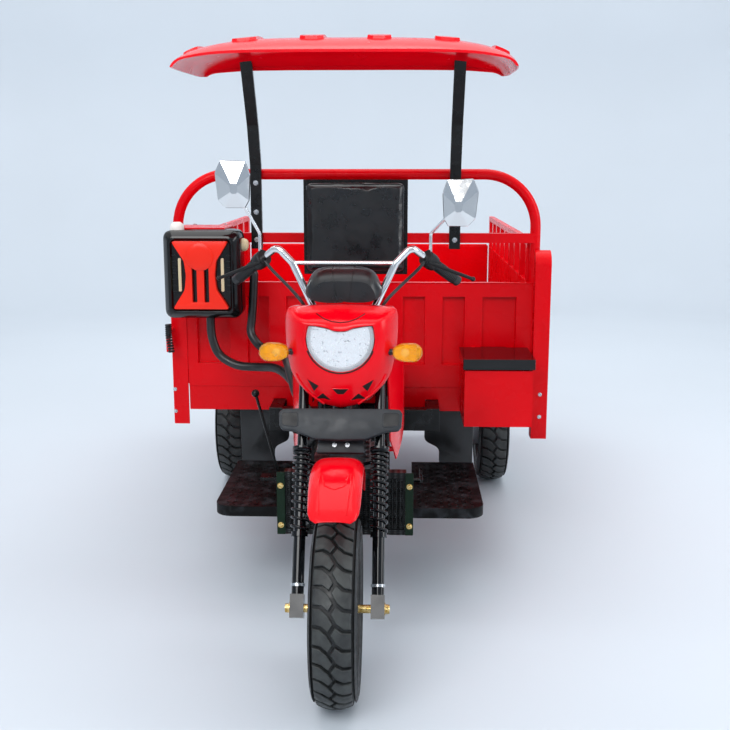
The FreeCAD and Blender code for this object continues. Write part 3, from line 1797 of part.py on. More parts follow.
def air_hoses():
    """Two intake hoses, held by the filter at one end and the engine at the other."""
    bottom = filter_bottom - seat_gap
    y = filter_y + filter_depth / 2
    side = -filter_x + filter_width / 2 + seat_gap
    # (x, y, z) of each corner as shares of the way from the engine port to the filter
    reach = filter_x - engine_port_x
    back = y - hose_port_y
    rise = bottom - hose_port_z
    shares = (
        (0.96, 1.0, 0.79),
        (0.91, 1.0, 0.58),
        (0.76, 0.95, 0.47),
        (0.58, 0.9, 0.47),
        (0.42, 0.75, 0.5),
        (0.29, 0.55, 0.41),
        (0.19, 0.4, 0.2),
        (0.13, 0.19, 0.05),
        (0.09, 0.0, 0.0),
    )
    first = [V(-engine_port_x - reach * 0.96, y, bottom)]
    for a, b, c in shares:
        first.append(V(-engine_port_x - reach * a, hose_port_y + back * b, hose_port_z + rise * c))
    first.append(V(-engine_port_x, hose_port_y, hose_port_z))
    shares = (
        (0.62, 1.09, 1.49),
        (0.63, 1.09, 1.24),
        (0.643, 1.08, 0.98),
        (0.66, 1.06, 0.81),
        (0.58, 0.98, 0.68),
        (0.454, 0.82, 0.65),
        (0.341, 0.59, 0.653),
        (0.29, 0.334, 0.55),
        (0.227, 0.14, 0.336),
        (0.135, 0.044, 0.214),
        (0.1, -0.027, 0.15),
    )
    second = [V(side, y + back * 0.09, hose_port_z + rise * 1.49)]
    for a, b, c in shares:
        second.append(V(-engine_port_x - reach * a, hose_port_y + back * b, hose_port_z + rise * c))
    second.append(V(-engine_port_x, hose_port_y - back * 0.027, hose_port_z + rise * 0.15))
    tubes = []
    for points in (first, second):
        bends = [corner_bend(*corner) for corner in zip(points, points[1:], points[2:])]
        path = bent_path(points)
        tube = round_sweep(points, hose_r)
        tubes.append(tube)
        print("hose bends", [round(bend) for bend in bends], "length", round(path.Length))
        print("hose volume", round(tube.Volume), "of", round(path.Length * math.pi * hose_r ** 2))
    piece("air_hoses", *tubes)


roof_station_shares = (
    (0.0, 0.945, 0.0, 0.42, 5.0),
    (0.07, 0.955, 0.01, 0.60, 4.4),
    (0.24, 0.975, 0.05, 0.80, 3.8),
    (0.50, 0.99, 0.10, 0.88, 3.6),
    (0.76, 1.0, 0.15, 0.76, 3.8),
    (0.93, 1.0, 0.19, 0.50, 4.4),
    (1.0, 0.985, 0.22, 0.26, 5.0),
)


def roof_body(inset, drop):
    """Loft through the crowned sections, closed by a flat underside."""
    wires = []
    for along, wide, lip, crown, fullness in roof_station_shares:
        half = roof_half_width * wide - inset
        y = roof_front_y + roof_length * along
        base = roof_lip_z + roof_crown * lip
        points = []
        for index in range(2 * roof_steps + 1):
            across = math.sin((index / roof_steps - 1) * math.pi / 2)
            rise = max(1 - abs(across) ** fullness, 0) ** 0.5
            points.append(V(half * across, y, base + (roof_crown * crown - inset) * rise))
        curve = smooth_edge(points)
        if drop:
            low = base - drop
            chain = [points[-1], V(half, y, low), V(-half, y, low), points[0]]
        else:
            chain = [points[-1], points[0]]
        sides = [Part.LineSegment(a, b).toShape() for a, b in zip(chain, chain[1:])]
        wires.append(Part.Wire([curve] + sides))
    return Part.makeLoft(wires, True, False)


def roof_rib(centre, width, first, last, raised):
    """Raised rib that follows the crown, with drafted sides and cut corners."""
    y0 = roof_front_y + roof_length * first
    y1 = roof_front_y + roof_length * last
    loops = []
    for z, spread in ((roof_lip_z, 1.25), (roof_lip_z + roof_crown * 1.4, 0.55)):
        half = width / 2 * spread
        grow = width / 2 * (spread - 1)
        cut = half * 0.5
        loop = [
            V(centre - half, y0 - grow + cut, z),
            V(centre - half + cut, y0 - grow, z),
            V(centre + half - cut, y0 - grow, z),
            V(centre + half, y0 - grow + cut, z),
            V(centre + half, y1 + grow - cut, z),
            V(centre + half - cut, y1 + grow, z),
            V(centre - half + cut, y1 + grow, z),
            V(centre - half, y1 + grow - cut, z),
        ]
        loops.append(Part.makePolygon(loop + loop[:1]))
    return Part.makeLoft(loops, True, True).common(raised)


def roof():
    """Moulded roof: a crowned shell with drooping tips, thick lips and long ribs."""
    y0 = roof_front_y
    y1 = y0 + roof_length
    half = roof_half_width
    z0 = roof_lip_z
    tall = roof_crown
    raised = roof_body(-roof_rib_height, 0)
    ribs = []
    for share in (-0.57, -0.19, 0.19, 0.57):
        ribs.append(roof_rib(half * share, roof_rib_width, 0.16, 0.84, raised))
    for share in (-0.88, 0.88):
        ribs.append(roof_rib(half * share, roof_rib_width * 0.5, 0.2, 0.8, raised))
    outside = fuse(roof_body(0, 0), *ribs)
    thin = roof_body(roof_wall, roof_wall)
    within = box(-half, half, y0 + roof_lip, y1 - roof_lip, z0 - tall, z0 + tall * 2)
    shell = outside.cut(thin.common(within)).cut(roof_body(roof_lip * 0.6, roof_wall))
    piece("roof", shell)
    top_z = z0 + tall
    back_y = hoop_front_y - seat_gap
    foot_z = cross_rail_bottom - roof_post_depth
    shares = (
        (0.0, 0.0),
        (0.0, 0.44),
        (0.26, 0.64),
        (1.0, 1.0),
    )
    line = [(back_y - roof_post_lean * a, foot_z + (top_z - foot_z) * b) for a, b in shares]
    bar = prism_x(
        line + [(y - roof_post_depth, z) for y, z in reversed(line)],
        roof_post_x - roof_post_width / 2,
        roof_post_x + roof_post_width / 2,
    )
    above = box(-half, half, y0, y1, z0 - tall * 0.2, top_z * 2)
    above = above.cut(roof_body(roof_wall + seat_gap, tall))
    piece("roof_posts", *both(bar.cut(above)))


def rear_axle():
    z = rear_tyre_r
    y = wheelbase
    tube = rod(V(-axle_tube_half, y, z), V(axle_tube_half, y, z), axle_tube_r)
    diff = lathe_x(
        [
            (-diff_width / 2, axle_tube_r),
            (-diff_width * 0.3, diff_r),
            (diff_width * 0.3, diff_r),
            (diff_width / 2, axle_tube_r),
            (diff_width / 2, 0),
            (-diff_width / 2, 0),
        ],
        y,
        z,
    )
    nose = rod(V(0, y - diff_r * 1.6, z), V(0, y, z), axle_tube_r * 1.3)
    housing = fuse(tube, diff, nose)
    for side in (1, -1):
        far = V(side * (axle_tube_half + cut_overrun), y, z)
        near = V(side * (axle_tube_half - leaf_width - cut_overrun), y, z)
        housing = housing.cut(rod(near, far, half_shaft_r + running_gap))
    piece("rear_axle", housing)
    start = V(0, engine_front_y + engine_length, rail_z + tube_r + engine_height * 0.3)
    end = V(0, y - diff_r * 1.6, z)
    lean = V(0, prop_shaft_r * abs(start.z - end.z) / (end.y - start.y) + seat_gap, 0)
    piece("drive_shaft", rod(start + lean, end - lean, prop_shaft_r))


def leaf_springs():
    y = wheelbase
    seat = rear_tyre_r + axle_tube_r + seat_gap
    packs = []
    half = leaf_length / 2
    leaves = []
    for index in range(leaf_count):
        reach = half * (1 - 0.14 * index)
        low = seat + leaf_thick * (leaf_count - 1 - index)
        rise = leaf_rise * (reach / half) ** 2
        bow = (reach ** 2 + rise ** 2) / (2 * rise)
        bottom = Part.makeCylinder(bow, leaf_width, V(leaf_x - leaf_width / 2, y, low + bow), V(1, 0, 0))
        centre = V(leaf_x - leaf_width / 2, y, low + bow)
        top = Part.makeCylinder(bow - leaf_thick, leaf_width, centre, V(1, 0, 0))
        band = bottom.cut(top)
        window = box(
            leaf_x - leaf_width,
            leaf_x + leaf_width,
            y - reach,
            y + reach,
            low - leaf_thick,
            low + rise + leaf_thick * 2,
        )
        leaves.append(band.common(window))
    pack = fuse(*leaves)
    eyes = []
    wide = leaf_width * 0.7
    eye_r = leaf_thick * 2
    for side in (1, -1):
        eye_y = y + side * leaf_length / 2
        eye_z = seat + leaf_thick * (leaf_count - 1) + leaf_rise + leaf_thick
        eye_start = V(leaf_x - leaf_width / 2, eye_y, eye_z)
        eye = rod(eye_start, eye_start + V(leaf_width, 0, 0), eye_r)
        rail_top = chassis_rail_z + chassis_rail_height
        hanger = box(leaf_x - wide, leaf_x + wide, eye_y - eye_r, eye_y + eye_r, eye_z, rail_top)
        rail_side = chassis_rail_x + chassis_rail_width / 2 + seat_gap
        arm_low = chassis_rail_z + chassis_rail_height * 0.3
        arm_high = chassis_rail_z + chassis_rail_height * 0.8
        arm = box(rail_side, leaf_x, eye_y - eye_r, eye_y + eye_r, arm_low, arm_high)
        eyes.extend([eye, hanger, arm])
    packs.extend(both(fuse(pack, *eyes)))
    piece("leaf_springs", *packs)


def exhaust():
    x = -(down_tube_x + muffler_r + tube_r * 1.2)
    y = board_front_y + board_length + muffler_r
    z = rail_z + muffler_r
    can = rod(V(x, y, z), V(x, y + muffler_length, z + muffler_r * 0.4), muffler_r)
    lead = bent_tube(
        [
            V(-engine_half_width - seat_gap, engine_front_y + engine_length * 0.5, rail_z + tube_r * 2.4),
            V(x, engine_front_y + engine_length * 0.5, rail_z + tube_r * 2.4),
            V(x, y + muffler_r, z),
        ],
        tube_r,
        frame_bend * 0.6,
    )
    piece("exhaust", fuse(can, lead))


def tail_lamps():
    x1 = box_half_width - side_wall_depth
    y1 = box_rear_y - sheet
    z1 = floor_under_z - cross_member_height - seat_gap
    lamp = box(x1 - tail_lamp_width, x1, y1 - tail_lamp_depth, y1, z1 - tail_lamp_height, z1)
    piece("tail_lamps", *both(lamp))


front_wheel()
rear_wheels()
fork()
front_axle()
front_fender()
front_plate()
fairing()
headlamp()
turn_signals()
dash_hood()
handlebar()
hand_controls()
control_cables()
mirrors()
main_frame()
chassis_rails()
cargo_floor()
front_wall()
piece("cargo_side_left", side_wall(1))
piece("cargo_side_right", side_wall(-1))
tailgate()
tailgate_hinges()
corner_posts()
guard_hoop()
seat_and_back()
fuel_tank()
side_shrouds()
engine()
radiator()
footboards()
pedals()
hand_lever()
battery_box()
air_filter()
air_hoses()
roof()
rear_axle()
leaf_springs()
exhaust()
tail_lamps()
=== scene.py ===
"""Cargo motor tricycle: finishes, soft goods, tread and small hardware over the solid model."""

import json
import math

import bmesh
import bpy
from mathutils import Matrix, Vector
from mathutils.bvhtree import BVHTree


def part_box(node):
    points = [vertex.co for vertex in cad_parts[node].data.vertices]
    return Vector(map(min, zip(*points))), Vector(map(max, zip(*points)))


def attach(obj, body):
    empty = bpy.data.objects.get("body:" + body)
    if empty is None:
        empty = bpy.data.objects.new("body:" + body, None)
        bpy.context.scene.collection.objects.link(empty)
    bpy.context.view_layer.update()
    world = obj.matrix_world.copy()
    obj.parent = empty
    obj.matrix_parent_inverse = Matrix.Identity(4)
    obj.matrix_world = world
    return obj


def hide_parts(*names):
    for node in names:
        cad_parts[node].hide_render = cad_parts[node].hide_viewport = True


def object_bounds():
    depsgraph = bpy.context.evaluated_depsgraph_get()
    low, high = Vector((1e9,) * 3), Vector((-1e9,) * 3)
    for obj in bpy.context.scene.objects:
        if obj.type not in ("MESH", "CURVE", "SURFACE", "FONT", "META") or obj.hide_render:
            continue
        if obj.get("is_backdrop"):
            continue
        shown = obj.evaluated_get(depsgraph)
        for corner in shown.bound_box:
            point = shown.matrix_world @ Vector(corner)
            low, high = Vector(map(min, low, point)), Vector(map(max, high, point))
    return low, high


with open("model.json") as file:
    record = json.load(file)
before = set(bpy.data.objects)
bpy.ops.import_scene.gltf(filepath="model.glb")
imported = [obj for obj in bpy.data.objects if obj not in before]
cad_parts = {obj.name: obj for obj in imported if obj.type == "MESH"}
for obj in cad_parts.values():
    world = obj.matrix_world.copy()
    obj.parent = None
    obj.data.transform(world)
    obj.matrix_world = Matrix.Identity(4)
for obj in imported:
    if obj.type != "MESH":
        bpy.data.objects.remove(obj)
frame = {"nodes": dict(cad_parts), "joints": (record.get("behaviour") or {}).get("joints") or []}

bl_info = {
    "name": "Cargo Motor Tricycle",
    "version": (1, 0, 0),
    "blender": (4, 5, 0),
    "location": "View3D > Sidebar > Tricycle",
    "description": "Dresses the cargo tricycle with its paint, rubber, glass, vinyl and hardware",
    "category": "Object",
}

MM = 0.001
MM_PER_METRE = 1000.0


# Settings


def number(label, text, value, **kind):
    """A plain setting, with its unit or subtype where it has one."""
    return bpy.props.FloatProperty(name=label, description=text, default=value, **kind)


def millimetres(label, text, value):
    """A length setting, kept in metres and shown in scene units."""
    return number(label, text, value * MM, subtype="DISTANCE", unit="LENGTH")


def srgb(code):
    """Linear RGB of an sRGB hex colour."""
    channels = [int(code[i : i + 2], 16) / 255 for i in (1, 3, 5)]
    return tuple(c / 12.92 if c <= 0.04045 else ((c + 0.055) / 1.055) ** 2.4 for c in channels)


def colour(label, text, code):
    """A paint or plastic colour setting, given as an sRGB hex value."""
    return bpy.props.FloatVectorProperty(
        name=label, description=text, default=srgb(code), subtype="COLOR", size=3
    )


class PaintSettings(bpy.types.PropertyGroup):
    enamel: colour("Box enamel", "Stoved enamel on the cargo box, hoop and battery box", "#D8000E")
    body_abs: colour("Body plastic", "Moulded fairing, mudguard and roof", "#E00014")
    frame_black: colour("Frame enamel", "Satin black enamel on the frame and boards", "#050506")
    moulded_black: colour(
        "Black mouldings", "Black plastics of the controls, filter box and battery lid", "#0B0C0E"
    )
    grille: colour("Filter grille", "Orange-red moulded grille on the air filter", "#F02A16")
    cream: colour("Filter bars", "Cream clips beside the grille", "#D8CBA6")
    amber: colour("Turn lamps", "Amber lens plastic", "#FFAE00")
    tail: colour("Tail lamps", "Red lens plastic", "#C40008")
    radiator_green: colour("Radiator plates", "Dark green enamel of the radiator side plates", "#0F2416")
    floor: colour("Studio floor", "Pale painted sweep", "#C6CED6")


class TreadSettings(bpy.types.PropertyGroup):
    front_blocks: bpy.props.IntProperty(
        name="Front blocks", description="Blocks in each front row", default=32, min=8
    )
    rear_blocks: bpy.props.IntProperty(
        name="Rear blocks", description="Blocks in each rear row", default=34, min=8
    )
    depth: millimetres("Tread depth", "Depth of the grooves between blocks", 11.0)
    groove: millimetres("Groove", "Width of the grooves between blocks", 10.0)
    crown: millimetres("Crown", "Drop of the tread from centre to shoulder", 14.0)


class SeatSettings(bpy.types.PropertyGroup):
    swell: millimetres("Swell", "Most that the foam may push the vinyl out", 9.0)
    voxel: millimetres("Cloth grid", "Size of the cells that the cushions are remade from", 6.0)
    pressure: number("Pressure", "Push of the foam on the cover", 4.0)
    channel: millimetres("Channel depth", "Depth of the sewn channels", 6.0)


class TrimSettings(bpy.types.PropertyGroup):
    bolt_flat: millimetres("Bolt across flats", "Hexagon head of the body bolts", 13.0)
    bolt_height: millimetres("Bolt head height", "Height of a hexagon head", 5.5)
    stud_pitch: millimetres("Board stud pitch", "Spacing of the raised lozenges on the footboards", 26.0)
    stud_height: millimetres("Board stud height", "Height of a raised lozenge", 1.4)
    rib_pitch: millimetres("Grip rib pitch", "Spacing of the ribs on the hand grips", 7.0)
    piping: millimetres("Piping", "Thickness of the sewn piping", 6.0)


class StageSettings(bpy.types.PropertyGroup):
    lens: number("Lens", "Camera focal length", 50.9, unit="CAMERA")
    camera_x: number("Camera X", "Camera place across", 0.168, unit="LENGTH")
    camera_y: number("Camera Y", "Camera place along", -4.127, unit="LENGTH")
    camera_z: number("Camera Z", "Camera height", 1.506, unit="LENGTH")
    pitch: number("Pitch", "Camera tilt below level", math.radians(11.04), subtype="ANGLE")
    yaw: number("Yaw", "Camera turn", math.radians(1.89), subtype="ANGLE")
    key_power: number("Key light", "Power of the front softbox", 250.0)
    sky_power: number("Sky", "Strength of the soft light all round", 0.95)


# Node helpers


def add_node(tree, kind, inputs=None, **settings):
    """Adds one node, sets its properties and fills or links its inputs."""
    made = tree.nodes.new(kind)
    for name, value in settings.items():
        setattr(made, name, value)
    for key, value in (inputs or {}).items():
        if isinstance(value, bpy.types.NodeSocket):
            tree.links.new(value, made.inputs[key])
        else:
            made.inputs[key].default_value = value
    return made


def start_material(name, base, roughness, metallic=0.0, **sockets):
    """A Principled material whose constants sit on the shader's own sockets, and what its patterns join."""
    made = bpy.data.materials.new(name)
    made.use_nodes = True
    made.diffuse_color = (*base, 1.0)
    tree = made.node_tree
    shader = tree.nodes["Principled BSDF"]
    values = {"base_color": (*base, 1.0), "roughness": roughness, "metallic": metallic, **sockets}
    for key, value in values.items():
        shader.inputs[key.replace("_", " ").title().replace("Ior", "IOR")].default_value = value
    coords = add_node(tree, "ShaderNodeTexCoord").outputs["Object"]
    return made, (tree, shader, coords)


def texture(look, size_mm, detail=None, distortion=None, kind="Noise", output="Fac", **settings):
    """Field of a texture whose features are about size_mm across."""
    tree, _, coords = look
    inputs = {"Vector": coords, "Scale": MM_PER_METRE / size_mm, "Detail": detail, "Distortion": distortion}
    inputs = {key: value for key, value in inputs.items() if value is not None}
    return add_node(tree, "ShaderNodeTex" + kind, inputs, **settings).outputs[output]


def between(tree, field, dark, light, low, high):
    """Colour that moves between two shades as a field rises from low to high."""
    share = add_node(
        tree, "ShaderNodeMapRange", {"Value": field, "From Min": low, "From Max": high}
    ).outputs[0]
    inputs = {0: share, 6: (*dark, 1.0), 7: (*light, 1.0)}
    return add_node(tree, "ShaderNodeMix", inputs, data_type="RGBA").outputs[2]


def vary_colour(look, field, dark, light, low=0.35, high=0.65):
    """Base colour moving between two shades with a field."""
    tree, shader, _ = look
    tree.links.new(between(tree, field, dark, light, low, high), shader.inputs["Base Color"])


def vary_roughness(look, field, low, high):
    """Roughness moving between two values with a field."""
    tree, shader, _ = look
    inputs = {"Value": field, "From Min": 0.3, "From Max": 0.7, "To Min": low, "To Max": high}
    tree.links.new(add_node(tree, "ShaderNodeMapRange", inputs).outputs[0], shader.inputs["Roughness"])


def raise_surface(look, field, height_mm, strength):
    """Bump of a real height in millimetres."""
    tree, shader, _ = look
    inputs = {"Height": field, "Distance": height_mm * MM, "Strength": strength}
    tree.links.new(add_node(tree, "ShaderNodeBump", inputs).outputs[0], shader.inputs["Normal"])


def shade(base, factor):
    """A colour made lighter or darker, and no brighter than white."""
    return tuple(min(1.0, c * factor) for c in base)


# Finishes


def stoved_enamel(name, base):
    """Sprayed and baked enamel on sheet steel: deep gloss with a faint orange peel."""
    made, look = start_material(name, base, 0.3, specular_ior_level=0.12, coat_weight=0.05)
    vary_colour(look, texture(look, 320.0), shade(base, 0.9), shade(base, 1.06))
    vary_roughness(look, texture(look, 90.0, 3.0), 0.22, 0.34)
    raise_surface(look, texture(look, 5.0), 0.035, 0.35)
    return made


def moulded_abs(name, base, roughness=0.18):
    """Injection-moulded plastic in one colour: wet-looking gloss, very slight sink ripple."""
    made, look = start_material(name, base, roughness, specular_ior_level=0.2, coat_weight=0.1)
    vary_colour(look, texture(look, 240.0), shade(base, 0.93), shade(base, 1.04))
    vary_roughness(look, texture(look, 60.0, 3.0), roughness - 0.03, roughness + 0.06)
    raise_surface(look, texture(look, 45.0), 0.12, 0.2)
    return made


def grained_abs(name, base, roughness=0.46):
    """Black ABS from a spark-eroded mould: fine leather-like grain that breaks up the gloss."""
    made, look = start_material(name, base, roughness, specular_ior_level=0.35)
    # The mould's grain is drawn coarser than life, so that it shows.
    cells = texture(look, 2.2, kind="Voronoi", output="Distance")
    vary_colour(look, texture(look, 70.0, 4.0), shade(base, 0.85), shade(base, 1.15))
    vary_roughness(look, texture(look, 30.0, 3.0), roughness - 0.08, roughness + 0.1)
    raise_surface(look, cells, 0.12, 0.35)
    return made


def gloss_black(name, base):
    """Polished polypropylene, or a fork tube's black enamel: mirror gloss that dust dulls in patches."""
    made, look = start_material(name, base, 0.08, specular_ior_level=0.3, coat_weight=0.15)
    vary_colour(look, texture(look, 60.0, 5.0), shade(base, 0.7), shade(base, 1.2))
    vary_roughness(look, texture(look, 50.0, 4.0), 0.05, 0.16)
    raise_surface(look, texture(look, 25.0), 0.05, 0.15)
    return made


def satin_frame_enamel(name, base):
    """Dipped black chassis enamel: satin, a little lumpy over weld scale, dusty grey film."""
    made, look = start_material(name, base, 0.28, specular_ior_level=0.3, coat_weight=0.05)
    vary_colour(look, texture(look, 40.0, 5.0), shade(base, 0.8), shade(base, 1.7), 0.4, 0.8)
    vary_roughness(look, texture(look, 35.0, 4.0), 0.2, 0.42)
    raise_surface(look, texture(look, 7.0, 3.0), 0.12, 0.3)
    return made


def dusty_board_enamel(name, base):
    """Black enamel on the footboards, scuffed and dusted by boots."""
    made, look = start_material(name, base, 0.4, specular_ior_level=0.15)
    vary_colour(look, texture(look, 55.0, 8.0, 0.6), base, srgb("#34363A"), 0.48, 0.8)
    vary_roughness(look, texture(look, 45.0, 6.0), 0.28, 0.62)
    raise_surface(look, texture(look, 6.0, 3.0), 0.15, 0.35)
    return made


def chrome_plate(name):
    """Bright nickel-chrome plating on bent tube: near-mirror with faint polishing haze."""
    made, look = start_material(name, srgb("#E4E5E6"), 0.06, metallic=1.0)
    vary_roughness(look, texture(look, 25.0, 4.0), 0.03, 0.11)
    raise_surface(look, texture(look, 18.0), 0.03, 0.15)
    return made


def yellow_zinc(name):
    """Yellow-passivated zinc on nuts and spacers: pale gold with rainbow mottling."""
    made, look = start_material(name, srgb("#C8A55C"), 0.3, metallic=1.0)
    vary_colour(look, texture(look, 6.0, 3.0), srgb("#B08A3E"), srgb("#E3CC92"))
    vary_roughness(look, texture(look, 4.0, 3.0), 0.22, 0.4)
    return made


def clear_zinc(name):
    """Clear-passivated zinc on bolt heads: cool bright grey."""
    made, look = start_material(name, srgb("#C4C8CC"), 0.28, metallic=1.0)
    vary_colour(look, texture(look, 5.0, 3.0), srgb("#9EA3A8"), srgb("#DADDE0"))
    vary_roughness(look, texture(look, 4.0, 3.0), 0.2, 0.38)
    return made


def cast_aluminium(name):
    """Sand-cast alloy: grey, grainy, darker where oil has settled."""
    made, look = start_material(name, srgb("#8C8E90"), 0.5, metallic=0.85)
    vary_colour(look, texture(look, 50.0, 5.0), srgb("#5A5B5C"), srgb("#A6A8AA"))
    vary_roughness(look, texture(look, 20.0, 4.0), 0.4, 0.62)
    raise_surface(look, texture(look, 1.8, 3.0), 0.18, 0.5)
    return made


def tyre_rubber(name, dark, light):
    """Vulcanised rubber: near black on the side walls, buffed grey on the blocks."""
    made, look = start_material(name, srgb(dark), 0.55)
    vary_colour(look, texture(look, 35.0, 5.0), srgb(dark), srgb(light))
    vary_roughness(look, texture(look, 18.0, 4.0), 0.42, 0.66)
    raise_surface(look, texture(look, 2.0, 3.0), 0.1, 0.4)
    return made


def hose_rubber(name):
    """Extruded rubber hose: smooth, faintly cloth-marked, soft sheen."""
    made, look = start_material(name, srgb("#101113"), 0.36)
    vary_colour(look, texture(look, 60.0, 4.0), srgb("#0A0A0B"), srgb("#1C1D20"))
    vary_roughness(look, texture(look, 30.0, 3.0), 0.28, 0.44)
    raise_surface(look, texture(look, 2.5), 0.08, 0.3)
    return made


def upholstery_vinyl(name, gloss=0.32):
    """Expanded vinyl with an embossed leather grain: satin black that creases."""
    made, look = start_material(name, srgb("#0A0B0E"), gloss, coat_weight=0.15, coat_roughness=0.1)
    # The embossed cells are drawn about twice their real size, so that they show.
    cells = texture(look, 3.2, kind="Voronoi", output="Distance", feature="DISTANCE_TO_EDGE")
    vary_colour(look, texture(look, 90.0, 4.0), srgb("#08090B"), srgb("#101216"))
    vary_roughness(look, texture(look, 40.0, 4.0), gloss - 0.06, gloss + 0.12)
    raise_surface(look, cells, 0.2, 0.2)
    return made


def lamp_glass(name, alpha=0.16, roughness=0.03):
    """Clear polycarbonate lamp cover: water-clear with a hard gloss."""
    made, look = start_material(name, srgb("#F4F8FC"), roughness, alpha=alpha)
    vary_roughness(look, texture(look, 40.0), roughness, roughness + 0.04)
    raise_surface(look, texture(look, 40.0), 0.1, 0.1)
    return made


def reflector_silver(name):
    """Vacuum-aluminised reflector facets: bright silver."""
    made, look = start_material(name, srgb("#F4F5F7"), 0.16, metallic=0.9)
    # The dark grey patches in the silver are painted reflections of dark surroundings in the facets.
    vary_colour(look, texture(look, 14.0, 2.0, 1.5), srgb("#6E747B"), srgb("#FBFCFD"), 0.3, 0.39)
    vary_roughness(look, texture(look, 12.0, 3.0), 0.12, 0.3)
    return made


def lens_plastic(name, base, alpha=1.0):
    """Tinted polycarbonate lens: saturated, glossy, a little see-through, with prism ribs."""
    made, look = start_material(name, base, 0.1, ior=1.5, coat_weight=0.5, alpha=alpha)
    # A wave repeats at 0.314 of the size that it is given, so these prism ribs are 12 mm apart.
    ribs = texture(look, 38.0, kind="Wave", bands_direction="X")
    vary_colour(look, texture(look, 16.0, 3.0), shade(base, 0.75), shade(base, 1.1))
    raise_surface(look, ribs, 0.5, 0.4)
    return made


def radiator_core(name):
    """Black-lacquered aluminium fin pack: fine upright tubes crossed by fins."""
    made, look = start_material(name, srgb("#191A1B"), 0.42, metallic=0.5)
    # A wave repeats at 0.314 of its size: tubes 19 mm and bundles of fins 7 mm apart, which still show.
    tubes = texture(look, 60.0, kind="Wave", bands_direction="X")
    fins = texture(look, 22.0, kind="Wave", bands_direction="Z")
    product = add_node(look[0], "ShaderNodeMath", {0: tubes, 1: fins}, operation="MULTIPLY").outputs[0]
    # The colour follows the same waves as the bump, dark between the tubes and fins and light on their
    # crests: painted shade and painted highlight on black lacquer.
    vary_colour(look, product, srgb("#08090A"), srgb("#3B3D3E"), 0.2, 0.8)
    raise_surface(look, product, 1.5, 0.6)
    return made


def silvered_glass(name):
    """Rear-view mirror glass: flat perfect mirror with a cool tint."""
    made, look = start_material(name, srgb("#E9EEF2"), 0.02, metallic=1.0)
    vary_roughness(look, texture(look, 60.0), 0.01, 0.04)
    return made


def silver_enamel(name):
    """Aluminium-flake wheel enamel: bright grey with a fine sparkle."""
    made, look = start_material(name, srgb("#9A9DA1"), 0.36, metallic=0.6)
    # Real flakes are far finer; a speck has to be this large to show.
    vary_colour(look, texture(look, 1.2, 2.0), srgb("#85888C"), srgb("#B3B6BA"))
    vary_roughness(look, texture(look, 40.0, 4.0), 0.3, 0.48)
    return made


def heat_black(name):
    """Stove-blacked exhaust steel: matt, browned near the joints."""
    made, look = start_material(name, srgb("#1B1A19"), 0.6, metallic=0.4)
    vary_colour(look, texture(look, 50.0, 5.0), srgb("#141414"), srgb("#37302A"))
    vary_roughness(look, texture(look, 25.0, 4.0), 0.5, 0.72)
    raise_surface(look, texture(look, 3.0, 3.0), 0.12, 0.4)
    return made


def painted_floor(name, base):
    """Studio sweep: matt pale emulsion with only a breath of mottling."""
    made, look = start_material(name, base, 0.55)
    vary_colour(look, texture(look, 1800.0), shade(base, 0.985), shade(base, 1.01))
    return made


FINISHES = {}


def finish(name):
    """The finished material of that name, made once."""
    return FINISHES[name]


def make_finishes(paint):
    """Builds every finish from the colour settings."""
    FINISHES.update(
        enamel=stoved_enamel("stoved_enamel_red", paint.enamel),
        body=moulded_abs("moulded_abs_red", paint.body_abs),
        roof=moulded_abs("vacuum_formed_abs_red", paint.body_abs, 0.22),
        frame=satin_frame_enamel("chassis_enamel_black", paint.frame_black),
        board=dusty_board_enamel("scuffed_enamel_black", paint.frame_black),
        grained=grained_abs("grained_abs_black", paint.moulded_black),
        gloss=gloss_black("polypropylene_black", paint.moulded_black),
        grille=moulded_abs("moulded_abs_orange", paint.grille, 0.3),
        cream=moulded_abs("polyethylene_cream", paint.cream, 0.4),
        chrome=chrome_plate("chrome_plate"),
        gold=yellow_zinc("yellow_zinc"),
        zinc=clear_zinc("clear_zinc"),
        alloy=cast_aluminium("cast_aluminium"),
        tyre=tyre_rubber("sidewall_rubber", "#0B0C0D", "#16181A"),
        tread=tyre_rubber("tread_rubber", "#1E2021", "#343736"),
        hose=hose_rubber("hose_rubber"),
        vinyl=upholstery_vinyl("grained_vinyl"),
        back_vinyl=upholstery_vinyl("stretched_vinyl", 0.28),
        satin=grained_abs("satin_abs_slate", srgb("#262A2E"), 0.46),
        groove=moulded_abs("moulded_abs_shadow_red", srgb("#5A0008"), 0.3),
        # Flat black for the nose's vents and the gap under the headlamp: painted shade where these openings
        # look dark.
        groove_black=grained_abs("painted_vent_shade_black", srgb("#030303"), 0.6),
        fork=gloss_black("fork_enamel_black", srgb("#07090D")),
        glass=lamp_glass("polycarbonate_clear"),
        reflector=reflector_silver("aluminised_reflector"),
        glass_frost=lamp_glass("polycarbonate_frosted", 0.85, 0.2),
        amber=lens_plastic("polycarbonate_amber", paint.amber, 0.5),
        amber_core=moulded_abs("amber_reflector", srgb("#FFA21A"), 0.2),
        amber_bulb=moulded_abs("dipped_amber_bulb", srgb("#FFD27A"), 0.1),
        tail=lens_plastic("polycarbonate_red", paint.tail),
        pale_cap=moulded_abs("polyethylene_white", srgb("#ECE8E2"), 0.35),
        radiator=radiator_core("lacquered_fin_pack"),
        green=stoved_enamel("stoved_enamel_green", paint.radiator_green),
        mirror=silvered_glass("silvered_glass"),
        wheel=silver_enamel("silver_enamel"),
        exhaust=heat_black("heat_black_steel"),
        floor=painted_floor("studio_emulsion", paint.floor),
    )


# Mesh helpers


def in_scene(name, data):
    """A new object of the scene."""
    made = bpy.data.objects.new(name, data)
    bpy.context.scene.collection.objects.link(made)
    return made


def coated(mesh, key):
    """A mesh in one finish."""
    mesh.materials.clear()
    mesh.materials.append(finish(key))
    return mesh


def new_piece(name, mesh, body, replaces=()):
    """Puts a finished mesh in the scene, riding on its body, in place of the solid pieces that are named."""
    made = in_scene(name, mesh)
    if replaces:
        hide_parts(*replaces)
    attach(made, body)
    return made


